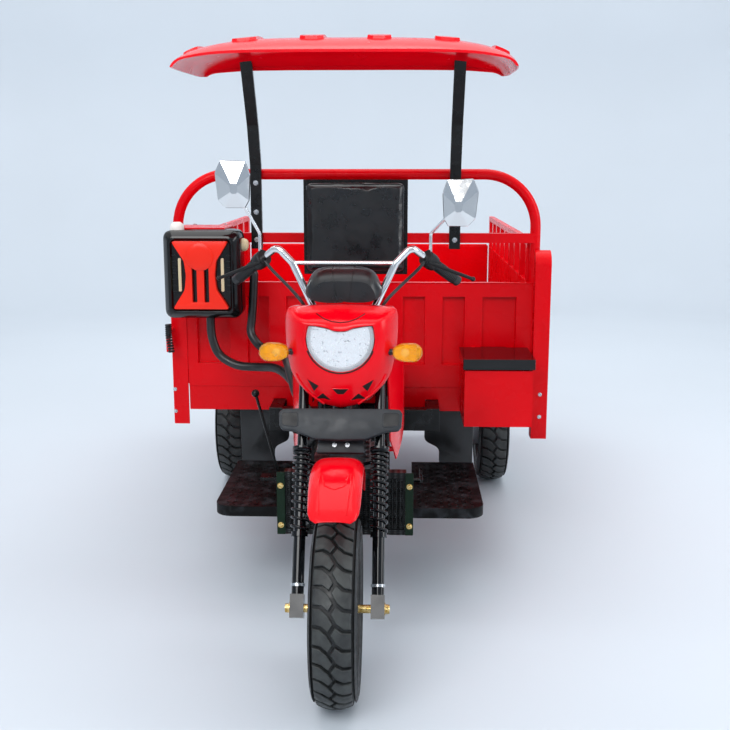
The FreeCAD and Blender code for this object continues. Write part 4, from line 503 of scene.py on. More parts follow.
def smooth(mesh, degrees=35.0):
    """Smooth shading that keeps edges sharper than the given angle."""
    mesh.shade_smooth()
    mesh.set_sharp_from_angle(angle=math.radians(degrees))


def mesh_from(name, build, degrees=35.0):
    """A mesh made by a bmesh function, with its doubles merged and its normals pointing out."""
    mesh = bpy.data.meshes.new(name)
    bm = bmesh.new()
    build(bm)
    bmesh.ops.remove_doubles(bm, verts=bm.verts, dist=1e-6)
    bmesh.ops.recalc_face_normals(bm, faces=bm.faces)
    bm.to_mesh(mesh)
    bm.free()
    smooth(mesh, degrees)
    return mesh


def ring(bm, points):
    """New vertices at some points."""
    return [bm.verts.new(p) for p in points]


def turns(count, start=0.0):
    """The angles of even steps round a circle."""
    return [2 * math.pi * (step + start) / count for step in range(count)]


def bridge(bm, first, second, closed=True):
    """Quads between two rings, or between two open rows."""
    count = min(len(first), len(second))
    for i in range(count if closed else count - 1):
        j = (i + 1) % count
        bm.faces.new((first[i], first[j], second[j], second[i]))


def skin(bm, loops, closed=True, caps=()):
    """Bridges each loop to the next, and closes the loops whose places are given."""
    for first, second in zip(loops, loops[1:]):
        bridge(bm, first, second, closed)
    for index in caps:
        bm.faces.new(loops[index])


def bake(obj):
    """The evaluated object as a plain mesh, its modifiers taken off."""
    depsgraph = bpy.context.evaluated_depsgraph_get()
    mesh = bpy.data.meshes.new_from_object(obj.evaluated_get(depsgraph))
    obj.modifiers.clear()
    return mesh


def box_of(node):
    """Low and high corners of a solid piece's box."""
    low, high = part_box(node)
    return Vector(low), Vector(high)


def bevel_edges(obj, width_mm, segments=2):
    """Adds a bevel to the sharper edges."""
    bevel = obj.modifiers.new("Edges", "BEVEL")
    bevel.width = width_mm * MM
    bevel.segments = segments
    bevel.limit_method = "ANGLE"
    return bevel


def soften_edges(names, width_mm, segments=2):
    """Rounds the cut and folded edges of the solid pieces, as real sheet and mouldings have."""
    for name in names:
        node = frame["nodes"][name]
        node.modifiers.new("Weld", "WELD").merge_threshold = 1e-5
        bevel_edges(node, width_mm, segments).angle_limit = math.radians(40)


def round_off(obj, width_mm, degrees):
    """Rounds a new piece's edges and makes the result its plain mesh."""
    bevel_edges(obj, width_mm)
    obj.data = bake(obj)
    smooth(obj.data, degrees)


def thicken(obj, wall_mm=3.0, degrees=60.0):
    """Gives a new shell its moulded wall, inwards, and rounds it once."""
    wall = obj.modifiers.new("Wall", "SOLIDIFY")
    wall.thickness = wall_mm * MM
    wall.offset = -1.0
    obj.modifiers.new("Round", "SUBSURF").levels = 1
    obj.data = bake(obj)
    smooth(obj.data, degrees)


def start_tree(name, sizes):
    """A geometry node tree with named inputs; returns it with its two end nodes."""
    tree = bpy.data.node_groups.new(name, "GeometryNodeTree")
    for label, kind in {"Geometry": "Geometry", **sizes}.items():
        tree.interface.new_socket(name=label, in_out="INPUT", socket_type="NodeSocket" + kind)
    tree.interface.new_socket(name="Geometry", in_out="OUTPUT", socket_type="NodeSocketGeometry")
    return tree, add_node(tree, "NodeGroupInput"), add_node(tree, "NodeGroupOutput")


def finish_tree(tree, leave, geometry, material):
    """Ends a tree in real geometry with one material."""
    real = add_node(tree, "GeometryNodeRealizeInstances", {"Geometry": geometry}).outputs[0]
    dressed = add_node(tree, "GeometryNodeSetMaterial", {"Geometry": real, "Material": material}).outputs[0]
    tree.links.new(dressed, leave.inputs[0])
    return tree


def grow(name, mesh, tree, values, body, degrees=35.0):
    """Runs a tree on a mesh and links the plain result as one piece of its body."""
    seed = in_scene(name + "_seed", mesh)
    modifier = seed.modifiers.new("Pattern", "NODES")
    modifier.node_group = tree
    for item in tree.interface.items_tree:
        if item.in_out == "INPUT" and item.name in values:
            modifier[item.identifier] = values[item.name]
    made = bake(seed)
    bpy.data.objects.remove(seed)
    made.name = name
    smooth(made, degrees)
    return new_piece(name, made, body)


def lathe(bm, profile, place, axis, steps, closed=False):
    """Revolved surface of (along, radius) points about an axis through a place."""
    turn = Vector((0, 0, 1)).rotation_difference(Vector(axis)).to_matrix()
    rings = []
    for along, radius in profile:
        spots = [(radius * math.cos(angle), radius * math.sin(angle), along) for angle in turns(steps)]
        if radius < 1e-7:
            spots = [(0, 0, along)]
        rings.append(ring(bm, [Vector(place) + turn @ Vector(spot) for spot in spots]))
    if closed:
        rings.append(rings[0])
    for first, second in zip(rings, rings[1:]):
        for i in range(steps):
            j = (i + 1) % steps
            loop = (
                first[i % len(first)],
                first[j % len(first)],
                second[j % len(second)],
                second[i % len(second)],
            )
            unique = list(dict.fromkeys(loop))
            if len(unique) > 2:
                bm.faces.new(unique)


def sweep(bm, points, radius, steps=10, closed=False):
    """Round tube through points, with capped ends unless it is closed."""
    points = [Vector(p) for p in points]
    count = len(points)
    normal = None
    rings = []
    for i, here in enumerate(points):
        after = points[(i + 1) % count] if closed or i < count - 1 else here
        before = points[i - 1] if closed or i > 0 else here
        tangent = (after - before).normalized()
        if normal is None:
            normal = tangent.orthogonal().normalized()
        normal = (normal - tangent * normal.dot(tangent)).normalized()
        across = tangent.cross(normal)
        spots = [
            here + (normal * math.cos(angle) + across * math.sin(angle)) * radius for angle in turns(steps)
        ]
        rings.append(ring(bm, spots))
    skin(bm, rings)
    if closed:
        bridge(bm, rings[-1], rings[0])
    else:
        bm.faces.new(rings[0][::-1])
        bm.faces.new(rings[-1])


def slab(bm, outline, depth):
    """Prism of an outline in space, pushed along a depth vector."""
    near = ring(bm, [Vector(p) for p in outline])
    far = ring(bm, [Vector(p) + Vector(depth) for p in outline])
    bm.faces.new(near)
    bm.faces.new(far[::-1])
    bridge(bm, near, far)


def rounded(corners, radius, steps=5):
    """Planar outline with its corners turned to arcs of about one radius."""
    corners = [Vector(c) for c in corners]
    outline = []
    for i, corner in enumerate(corners):
        back = (corners[i - 1] - corner).normalized()
        on = (corners[(i + 1) % len(corners)] - corner).normalized()
        for step in range(steps + 1):
            share = step / steps
            start = corner + back * radius
            end = corner + on * radius
            outline.append(start.lerp(corner, share).lerp(corner.lerp(end, share), share))
    return outline


# Placing helpers


def joint_named(name):
    """A joint of the model."""
    return next(joint for joint in frame["joints"] if joint["name"] == name)


def joint_place(name):
    """Rest place of a joint, in metres."""
    return Vector(joint_named(name)["pos_m"])


def station(x, y, z):
    """A place in millimetres from the foot of the front axle, as the drawings give it."""
    return Vector((x * MM, joint_place("front_wheel_spin").y + y * MM, z * MM))


def fork_up():
    """Direction of the steering axis."""
    return Vector(joint_named("steer")["axis"])


def fork_ahead():
    """Direction square to the fork, forwards."""
    up = fork_up()
    return Vector((0, -up.z, up.y))


def on_fork(x, ahead, along):
    """A place in millimetres on the raked fork, from the foot of the steering axis."""
    return joint_place("steer") + Vector((x * MM, 0, 0)) + fork_ahead() * ahead * MM + fork_up() * along * MM


def on_surface(node, origin, direction):
    """Where a line meets a solid piece, and the surface's normal there."""
    hit, place, normal, _ = frame["nodes"][node].ray_cast(Vector(origin), Vector(direction).normalized())
    if not hit:
        raise RuntimeError("nothing to sit on: " + node)
    return place, normal


def surface_of(mesh):
    """A mesh as a surface that lines can be dropped on."""
    return BVHTree.FromPolygons([v.co for v in mesh.vertices], [p.vertices for p in mesh.polygons])


def front_trace(surface, points, lift=0.0):
    """Places on the front of a surface under points given across and up, in millimetres."""
    places = []
    for x, z in points:
        place, normal, _, _ = surface.ray_cast(Vector((x * MM, -4.0, z * MM)), Vector((0, 1, 0)))
        if place:
            places.append(place + normal * lift * MM)
    if len(places) < 3:
        raise RuntimeError("a trim line misses the surface that it should follow")
    return places


def spread(points, steps):
    """Rows of numbers filled in with straight steps."""
    filled = []
    for first, second in zip(points, points[1:]):
        for step in range(steps):
            filled.append(tuple(a + (b - a) * step / steps for a, b in zip(first, second)))
    filled.append(points[-1])
    return filled


# Repeated parts: fasteners are given as millimetres across flats and high

SMALL_BOLT = (10.0, 4.0)
WHEEL_NUT = (17.0, 13.0)
AXLE_NUT = (24.0, 12.0)


def mark_mesh(name, marks):
    """Points that carry the turn of the part that goes on each."""
    mesh = bpy.data.meshes.new(name)
    mesh.from_pydata([place for place, _, _ in marks], [], [])
    turns = mesh.attributes.new("turn", "FLOAT_VECTOR", "POINT")
    for index, (_, direction, spin) in enumerate(marks):
        turn = Vector(direction).to_track_quat("Z", "Y").to_matrix() @ Matrix.Rotation(spin, 3, "Z")
        turns.data[index].vector = turn.to_euler()
    return mesh


def marks_tree():
    """Sets one small part on every marked point, turned as the mark says."""
    tree, enter, leave = start_tree("parts_on_marks", {"Part": "Object", "Material": "Material"})
    part = add_node(tree, "GeometryNodeObjectInfo", {"Object": enter.outputs["Part"]}).outputs["Geometry"]
    named = add_node(tree, "GeometryNodeInputNamedAttribute", {"Name": "turn"}, data_type="FLOAT_VECTOR")
    turn = add_node(tree, "FunctionNodeEulerToRotation", {"Euler": named.outputs["Attribute"]}).outputs[0]
    inputs = {"Points": enter.outputs["Geometry"], "Instance": part, "Rotation": turn}
    placed = add_node(tree, "GeometryNodeInstanceOnPoints", inputs).outputs[0]
    return finish_tree(tree, leave, placed, enter.outputs["Material"])


def set_parts(name, part_mesh, marks, key, body):
    """Sets copies of one part on its marks."""
    part = in_scene(name + "_part", part_mesh)
    values = {"Part": part, "Material": finish(key)}
    grow(name, mark_mesh(name + "_marks", marks), marks_tree(), values, body)
    bpy.data.objects.remove(part)


def row_tree():
    """Repeats the seed along a straight line at an even step."""
    sizes = {"Count": "Int", "Step": "Vector", "Material": "Material"}
    tree, enter, leave = start_tree("row_of_parts", sizes)
    inputs = {"Count": enter.outputs["Count"], "Offset": enter.outputs["Step"]}
    line = add_node(tree, "GeometryNodeMeshLine", inputs).outputs[0]
    inputs = {"Points": line, "Instance": enter.outputs["Geometry"]}
    placed = add_node(tree, "GeometryNodeInstanceOnPoints", inputs).outputs[0]
    return finish_tree(tree, leave, placed, enter.outputs["Material"])


def wheel_tree():
    """Repeats the seed block round an axle in two rows, the second turned end for end."""
    sizes = {"Blocks": "Int", "Shift": "Float", "Centre": "Vector", "Material": "Material"}
    tree, enter, leave = start_tree("blocks_round_axle", sizes)
    turn = {0: 2 * math.pi, 1: enter.outputs["Blocks"]}
    step = add_node(tree, "ShaderNodeMath", turn, operation="DIVIDE").outputs[0]
    index = add_node(tree, "GeometryNodeInputIndex").outputs[0]
    shifted = add_node(
        tree, "ShaderNodeMath", {0: index, 1: enter.outputs["Shift"]}, operation="ADD"
    ).outputs[0]
    half_turn = {"Geometry": enter.outputs["Geometry"], "Rotation": (0.0, 0.0, math.pi)}
    reversed_block = add_node(tree, "GeometryNodeTransform", half_turn).outputs[0]
    joined = add_node(tree, "GeometryNodeJoinGeometry")
    for block, place in ((enter.outputs["Geometry"], index), (reversed_block, shifted)):
        angle = add_node(tree, "ShaderNodeMath", {0: place, 1: step}, operation="MULTIPLY").outputs[0]
        euler = add_node(tree, "ShaderNodeCombineXYZ", {"X": angle}).outputs[0]
        rotation = add_node(tree, "FunctionNodeEulerToRotation", {"Euler": euler}).outputs[0]
        points = add_node(tree, "GeometryNodePoints", {"Count": enter.outputs["Blocks"]}).outputs[0]
        settings = {"Points": points, "Instance": block, "Rotation": rotation}
        placed = add_node(tree, "GeometryNodeInstanceOnPoints", settings).outputs[0]
        tree.links.new(placed, joined.inputs[0])
    settings = {"Geometry": joined.outputs[0], "Translation": enter.outputs["Centre"]}
    centred = add_node(tree, "GeometryNodeTransform", settings).outputs[0]
    return finish_tree(tree, leave, centred, enter.outputs["Material"])


def hex_bolt(flat_mm, height_mm):
    """Washer and chamfered hexagon head, standing on the origin."""
    corner = flat_mm / math.sqrt(3) * MM
    height = height_mm * MM
    thin = 1.4 * MM

    def build(bm):
        washer = corner * 1.28
        lathe(bm, [(-thin, 0), (-thin, washer), (thin, washer), (thin, 0)], (0, 0, 0), (0, 0, 1), 20)
        head = [(0, 0), (0, corner), (height * 0.8, corner), (height, corner * 0.84), (height, 0)]
        lathe(bm, head, (0, 0, 0), (0, 0, 1), 6)

    return mesh_from("hex_bolt", build, 25)


def round_cap(radius_mm, height_mm):
    """Low domed cap, standing on the origin."""
    r = radius_mm * MM
    h = height_mm * MM

    def build(bm):
        profile = [(-h * 0.2, 0), (-h * 0.2, r), (h * 0.35, r), (h * 0.75, r * 0.86), (h, r * 0.5), (h, 0)]
        lathe(bm, profile, (0, 0, 0), (0, 0, 1), 24)

    return mesh_from("round_cap", build, 40)


def add_piece(name, build, key, body, replaces=(), degrees=35.0, bevel_mm=0.0):
    """One piece made by a mesh function, in its finish and on its body."""
    piece = new_piece(name, coated(mesh_from(name, build, degrees), key), body, replaces)
    if bevel_mm:
        round_off(piece, bevel_mm, degrees)
    return piece


# Wheels

BLOCK_LINE = ((1.06, 0.0), (0.55, 0.06), (0.15, 0.38), (-0.15, 0.88), (0.15, 1.38), (0.55, 1.06), (1.06, 1.0))
ROW_SHIFT = -1.26
RIM_RADIUS = 157.3
BEAD_HALF = 43.7
TREAD_SHARE = 0.8
SIDE_RIBS = (-20, -6, 18)
CARCASS_WALL = 12
NUT_CIRCLE = 48
SIDES = ((1, "left"), (-1, "right"))


def inset_outline(points, inset):
    """Flat outline, run anticlockwise, moved inwards by a distance."""
    made = []
    for i, here in enumerate(points):
        first = (here - points[i - 1]).normalized()
        second = (points[(i + 1) % len(points)] - here).normalized()
        side = Vector((-first.y, first.x))
        bisector = (side + Vector((-second.y, second.x))).normalized()
        made.append(here + bisector * (inset / max(bisector.dot(side), 0.4)))
    return made


def crown_radius(x, radius, half, drop):
    """Radius of the crowned tread at a distance from its middle."""
    return radius - drop * (x / half) ** 2


def tread_block(radius, half, blocks, tread):
    """One hooked block of the tread, wrapped over the crown of the tyre at its top."""
    pitch = 2 * math.pi * radius / blocks
    outline = inset_outline(
        [Vector((a * half, b * pitch)) for a, b in reversed(BLOCK_LINE)], tread.groove / 2
    )
    root = -2 * MM

    def build(bm):
        bm.faces.new([bm.verts.new((p.x, p.y, root)) for p in outline])
        for axis, reach in ((0, half), (1, pitch * 1.5)):
            for step in range(-6, 7):
                place = Vector((0, 0, 0))
                normal = Vector((0, 0, 0))
                place[axis] = reach * step / 6
                normal[axis] = 1
                parts = bm.verts[:] + bm.edges[:] + bm.faces[:]
                bmesh.ops.bisect_plane(bm, geom=parts, plane_co=place, plane_no=normal)
        made = bmesh.ops.extrude_face_region(bm, geom=bm.faces[:])["geom"]
        for vert in made:
            if isinstance(vert, bmesh.types.BMVert):
                vert.co.z = tread.depth
        bmesh.ops.recalc_face_normals(bm, faces=bm.faces)
        top = [edge for edge in bm.edges if min(v.co.z for v in edge.verts) > 0]
        rim = [edge for edge in top if edge.calc_face_angle(0) > 1.0]
        bmesh.ops.bevel(bm, geom=rim, offset=1.8 * MM, segments=1, affect="EDGES", profile=0.5)
        for vert in bm.verts:
            r = crown_radius(vert.co.x, radius, half, tread.crown) - tread.depth + vert.co.z
            angle = vert.co.y / radius
            vert.co = (vert.co.x, r * math.sin(angle), r * math.cos(angle))

    return mesh_from("tread_block", build, 35)


def tyre_profile(radius, half, tread):
    """Section of the carcass: groove floor, ribbed side walls and beads."""
    belly = (radius + RIM_RADIUS * MM) / 2
    floor = radius - tread.depth
    tread_half = half * TREAD_SHARE
    side = [(BEAD_HALF * MM, RIM_RADIUS * MM), (BEAD_HALF * MM, (RIM_RADIUS + 11) * MM)]
    side.append((half * 0.9, (RIM_RADIUS + 20) * MM))
    for offset in SIDE_RIBS:
        base = belly + offset * MM
        side += [(half * 0.965, base - 3 * MM), (half * 0.995, base - 1.2 * MM)]
        side += [(half * 0.995, base + 1.2 * MM), (half * 0.965, base + 3 * MM)]
    side += [(half * 0.95, radius - 27 * MM), (half * 0.89, radius - 20 * MM)]
    for share in (1.04, 0.8, 0.55, 0.28, 0.0):
        x = tread_half * share
        side.append((x, crown_radius(x, floor, tread_half, tread.crown)))
    outside = side + [(-x, r) for x, r in reversed(side[:-1])]
    wall = CARCASS_WALL * MM
    inside = [
        (BEAD_HALF * MM - wall, RIM_RADIUS * MM),
        (half - wall, belly),
        (half * 0.55, floor - wall),
        (-half * 0.55, floor - wall),
        (wall - half, belly),
        (wall - BEAD_HALF * MM, RIM_RADIUS * MM),
    ]
    return outside + inside[::-1]


class TRICYCLE_OT_wheels(bpy.types.Operator):
    """Wrap hooked tread blocks round each ribbed tyre and bolt the wheel discs"""

    bl_idname = "tricycle.wheels"
    bl_label = "Tyres and wheel nuts"

    def execute(self, context):
        tread = context.scene.tricycle_tread
        wheels = (
            ("front", "front_tyre", "front_wheel", tread.front_blocks),
            ("rear_left", "rear_tyre_left", "rear_wheel_left", tread.rear_blocks),
            ("rear_right", "rear_tyre_right", "rear_wheel_right", tread.rear_blocks),
        )
        for name, node, body, blocks in wheels:
            low, high = box_of(node)
            centre = joint_place(body + "_spin")
            centre.x = ((low + high) / 2).x
            radius = (high - low).z / 2
            half = (high - low).x / 2
            profile = tyre_profile(radius, half, tread)

            def carcass(bm):
                lathe(bm, profile, centre, (1, 0, 0), 144, closed=True)

            add_piece(name + "_carcass", carcass, "tyre", body, (node,))
            block = tread_block(radius, half * TREAD_SHARE, blocks, tread)
            values = {"Blocks": blocks, "Shift": ROW_SHIFT, "Centre": centre, "Material": finish("tread")}
            grow(name + "_tread", block, wheel_tree(), values, body)
        nuts = hex_bolt(*WHEEL_NUT)
        for side, name in SIDES:
            body = "rear_wheel_" + name
            centre = joint_place(body + "_spin")
            marks = []
            for angle in turns(5):
                spot = centre + Vector((0, math.cos(angle), math.sin(angle))) * NUT_CIRCLE * MM
                start = spot + Vector((side * 0.3, 0, 0))
                place, _ = on_surface("rear_rim_" + name, start, (-side, 0, 0))
                marks.append((place, (side, 0, 0), angle))
            set_parts("rear_nuts_" + name, nuts, marks, "zinc", body)
        return {"FINISHED"}


# Seat

CLOTH_STEPS = 20
SADDLE_CROWN = 0.024
SQUAB_CROWN = 0.012
CUSHION_CUTS = 22
SQUAB_SEAM = 0.014


def rounded_block(bm, low, high, radius, cuts):
    """Block with every edge rolled to one radius, on an even grid."""
    bmesh.ops.create_cube(bm, size=2.0)
    bmesh.ops.subdivide_edges(bm, edges=bm.edges[:], cuts=cuts, use_grid_fill=True)
    middle = (low + high) / 2
    half = (high - low) / 2
    for vert in bm.verts:
        spot = Vector((vert.co[i] * half[i] for i in range(3)))
        core = Vector((max(-half[i] + radius, min(half[i] - radius, spot[i])) for i in range(3)))
        off = spot - core
        if off.length > 0:
            spot = core + off.normalized() * radius
        vert.co = middle + spot


def stuffed(name, mesh, settings, low, high):
    """The cover blown tight over its foam: remade as even cloth, pressed out and capped."""
    obj = in_scene(name + "_cover", mesh)
    scene = bpy.context.scene
    remesh = obj.modifiers.new("Cells", "REMESH")
    remesh.mode = "VOXEL"
    remesh.voxel_size = settings.voxel
    obj.data = bake(obj)
    start = [vert.co.copy() for vert in obj.data.vertices]
    cloth = obj.modifiers.new("Cover", "CLOTH")
    cloth.settings.use_pressure = True
    cloth.settings.uniform_pressure_force = settings.pressure
    cloth.settings.effector_weights.gravity = 0.0
    cloth.settings.quality = 5
    for step in range(CLOTH_STEPS):
        scene.frame_set(step + 1)
    blown = bake(obj)
    scene.frame_set(1)
    for vert, rest in zip(blown.vertices, start):
        move = vert.co - rest
        if move.length > settings.swell:
            vert.co = rest + move * (settings.swell / move.length)
    obj.data = blown
    for vert in obj.data.vertices:
        vert.co = Vector((max(low[i], min(high[i], vert.co[i])) for i in range(3)))
    obj.modifiers.new("Round", "SUBSURF").levels = 1
    mesh = bake(obj)
    bpy.data.objects.remove(obj)
    return mesh


def sew_channels(mesh, channels, depth, normal):
    """Draws the cover in along sewn lines; a channel is a flat point, a flat direction and its width."""
    normal = Vector(normal)
    facing = [max(0.0, vert.normal.dot(normal)) for vert in mesh.vertices]
    for vert, share in zip(mesh.vertices, facing):
        for point, across, width in channels:
            distance = abs((vert.co - Vector(point)).dot(Vector(across)))
            vert.co -= normal * depth * share * math.exp(-((distance / width) ** 2))


def girth(mesh, centre, right, up):
    """Points round a stuffed form where a flat section through its centre cuts it."""
    tree = surface_of(mesh)
    points = []
    for angle in turns(96):
        direction = Vector(right) * math.cos(angle) + Vector(up) * math.sin(angle)
        hit = tree.ray_cast(Vector(centre) + direction * 0.6, -direction)[0]
        if hit:
            points.append(hit)
    return points


class TRICYCLE_OT_seat(bpy.types.Operator):
    """Stuff the saddle and the backrest and sew their piping"""

    bl_idname = "tricycle.seat"
    bl_label = "Saddle and backrest"

    def execute(self, context):
        settings = context.scene.tricycle_seat
        piping = context.scene.tricycle_trim.piping
        low, high = box_of("driver_seat")
        shrink = Vector((settings.swell * 0.7,) * 3)

        def saddle(bm):
            rounded_block(bm, low + shrink, high - shrink + Vector((0, 0, -0.012)), 0.022, CUSHION_CUTS)
            middle = (low + high) / 2
            for vert in bm.verts:
                u = (vert.co.x - middle.x) / (high.x - low.x) * 2
                v = (vert.co.y - middle.y) / (high.y - low.y) * 2
                w = max(0.0, (vert.co.z - low.z) / (high.z - low.z) - 0.4)
                vert.co.z += SADDLE_CROWN * w * (1 - u * u) * (1 - v ** 4)
                vert.co.x *= 1 - 0.10 * max(0.0, -v) ** 2 - 0.02 * (1 - v * v)
                vert.co.y += (middle.y - vert.co.y) * 0.02 * (1 - u * u)

        mesh = stuffed("saddle", mesh_from("saddle", saddle, 60), settings, low, high + Vector((0, 0, 0.004)))
        middle = (low + high) / 2
        channels = [((0, middle.y + a * (high.y - low.y), 0), (0, 1, 0), 0.006) for a in (-0.24, 0.0, 0.24)]
        sew_channels(mesh, channels, settings.channel, (0, 0, 1))
        smooth(mesh, 60)
        cushion = new_piece(
            "saddle_cushion", coated(mesh, "vinyl"), "chassis", ("driver_seat",)
        )
        seam_z = low.z + (high.z - low.z) * 0.62
        seam = girth(mesh, (middle.x, middle.y, seam_z), (1, 0, 0), (0, 1, 0))

        def welt(bm):
            sweep(bm, seam, piping * 0.5, 8, closed=True)

        add_piece("saddle_piping", welt, "vinyl", "chassis")

        low, high = box_of("backrest_pad")

        def squab(bm):
            rounded_block(bm, low + shrink, high - shrink, 0.018, CUSHION_CUTS)
            middle = (low + high) / 2
            for vert in bm.verts:
                u = (vert.co.x - middle.x) / (high.x - low.x) * 2
                w = (vert.co.z - middle.z) / (high.z - low.z) * 2
                front = max(0.0, (high.y - vert.co.y) / (high.y - low.y) - 0.5)
                vert.co.y -= SQUAB_CROWN * front * (1 - u * u) * (1 - w * w)
                vert.co.z += 0.004 * (1 - u * u) * max(0.0, w)

        mesh = stuffed("squab", mesh_from("squab", squab, 60), settings, low, high)
        middle = (low + high) / 2
        channels = [
            ((side * ((high.x - low.x) / 2 - SQUAB_SEAM), 0, 0), (1, 0, 0), 0.0035) for side in (1, -1)
        ]
        channels.append(((0, 0, high.z - SQUAB_SEAM * 1.3), (0, 0, 1), 0.0035))
        channels.append(((0, 0, low.z + SQUAB_SEAM * 1.5), (0, 0, 1), 0.0035))
        sew_channels(mesh, channels, settings.channel * 0.5, (0, -1, 0))
        smooth(mesh, 60)
        pad = new_piece(
            "backrest_squab", coated(mesh, "back_vinyl"), "chassis", ("backrest_pad",)
        )
        seam = girth(mesh, (middle.x, low.y + SQUAB_SEAM, middle.z), (1, 0, 0), (0, 0, 1))

        def squab_welt(bm):
            sweep(bm, seam, piping * 0.42, 8, closed=True)

        add_piece("backrest_piping", squab_welt, "back_vinyl", "chassis")
        return {"FINISHED"}


# Lamps

LENS_RADIUS = 97.0
LENS_HEIGHT = 1012.0
LENS_FACE = 189.0
LAMP_ROUNDS = 72
COWL_HALF = 98.0
TAIL_WIDTH = 0.150
TAIL_RIM = 0.004
TAIL_RECESS = 0.012
COWL_EDGE = ((0.0, 0.2), (0.2, 0.22), (0.38, 0.3), (0.7, 0.36), (1.1, 0.4))


def under_cowl(x, z):
    """Lowers a height in millimetres to just under the dipped edge of the cowl."""
    share = abs(x) / COWL_HALF
    for (a0, b0), (a1, b1) in zip(COWL_EDGE, COWL_EDGE[1:]):
        if share <= a1:
            edge = b0 + (b1 - b0) * (share - a0) / (a1 - a0)
            return min(z, LENS_HEIGHT + COWL_HALF * edge - 1.5)
    return z


def lamp_place(radius, back, angle):
    """A place on a ring of the headlamp, in millimetres."""
    return station(radius * math.cos(angle), LENS_FACE + back, LENS_HEIGHT + radius * math.sin(angle))


def lamp_rings(bm, profile, steps, twist=0.0):
    """Rings of a lamp part from (radius, distance back) points, trimmed under the cowl."""
    rings = []
    for index, (radius, back) in enumerate(profile):
        loop = []
        for angle in turns(steps, twist * (index % 2)):
            x = radius * math.cos(angle)
            z = under_cowl(x, LENS_HEIGHT + radius * math.sin(angle))
            loop.append(bm.verts.new(station(x, LENS_FACE + back, z)))
        rings.append(loop)
    return rings


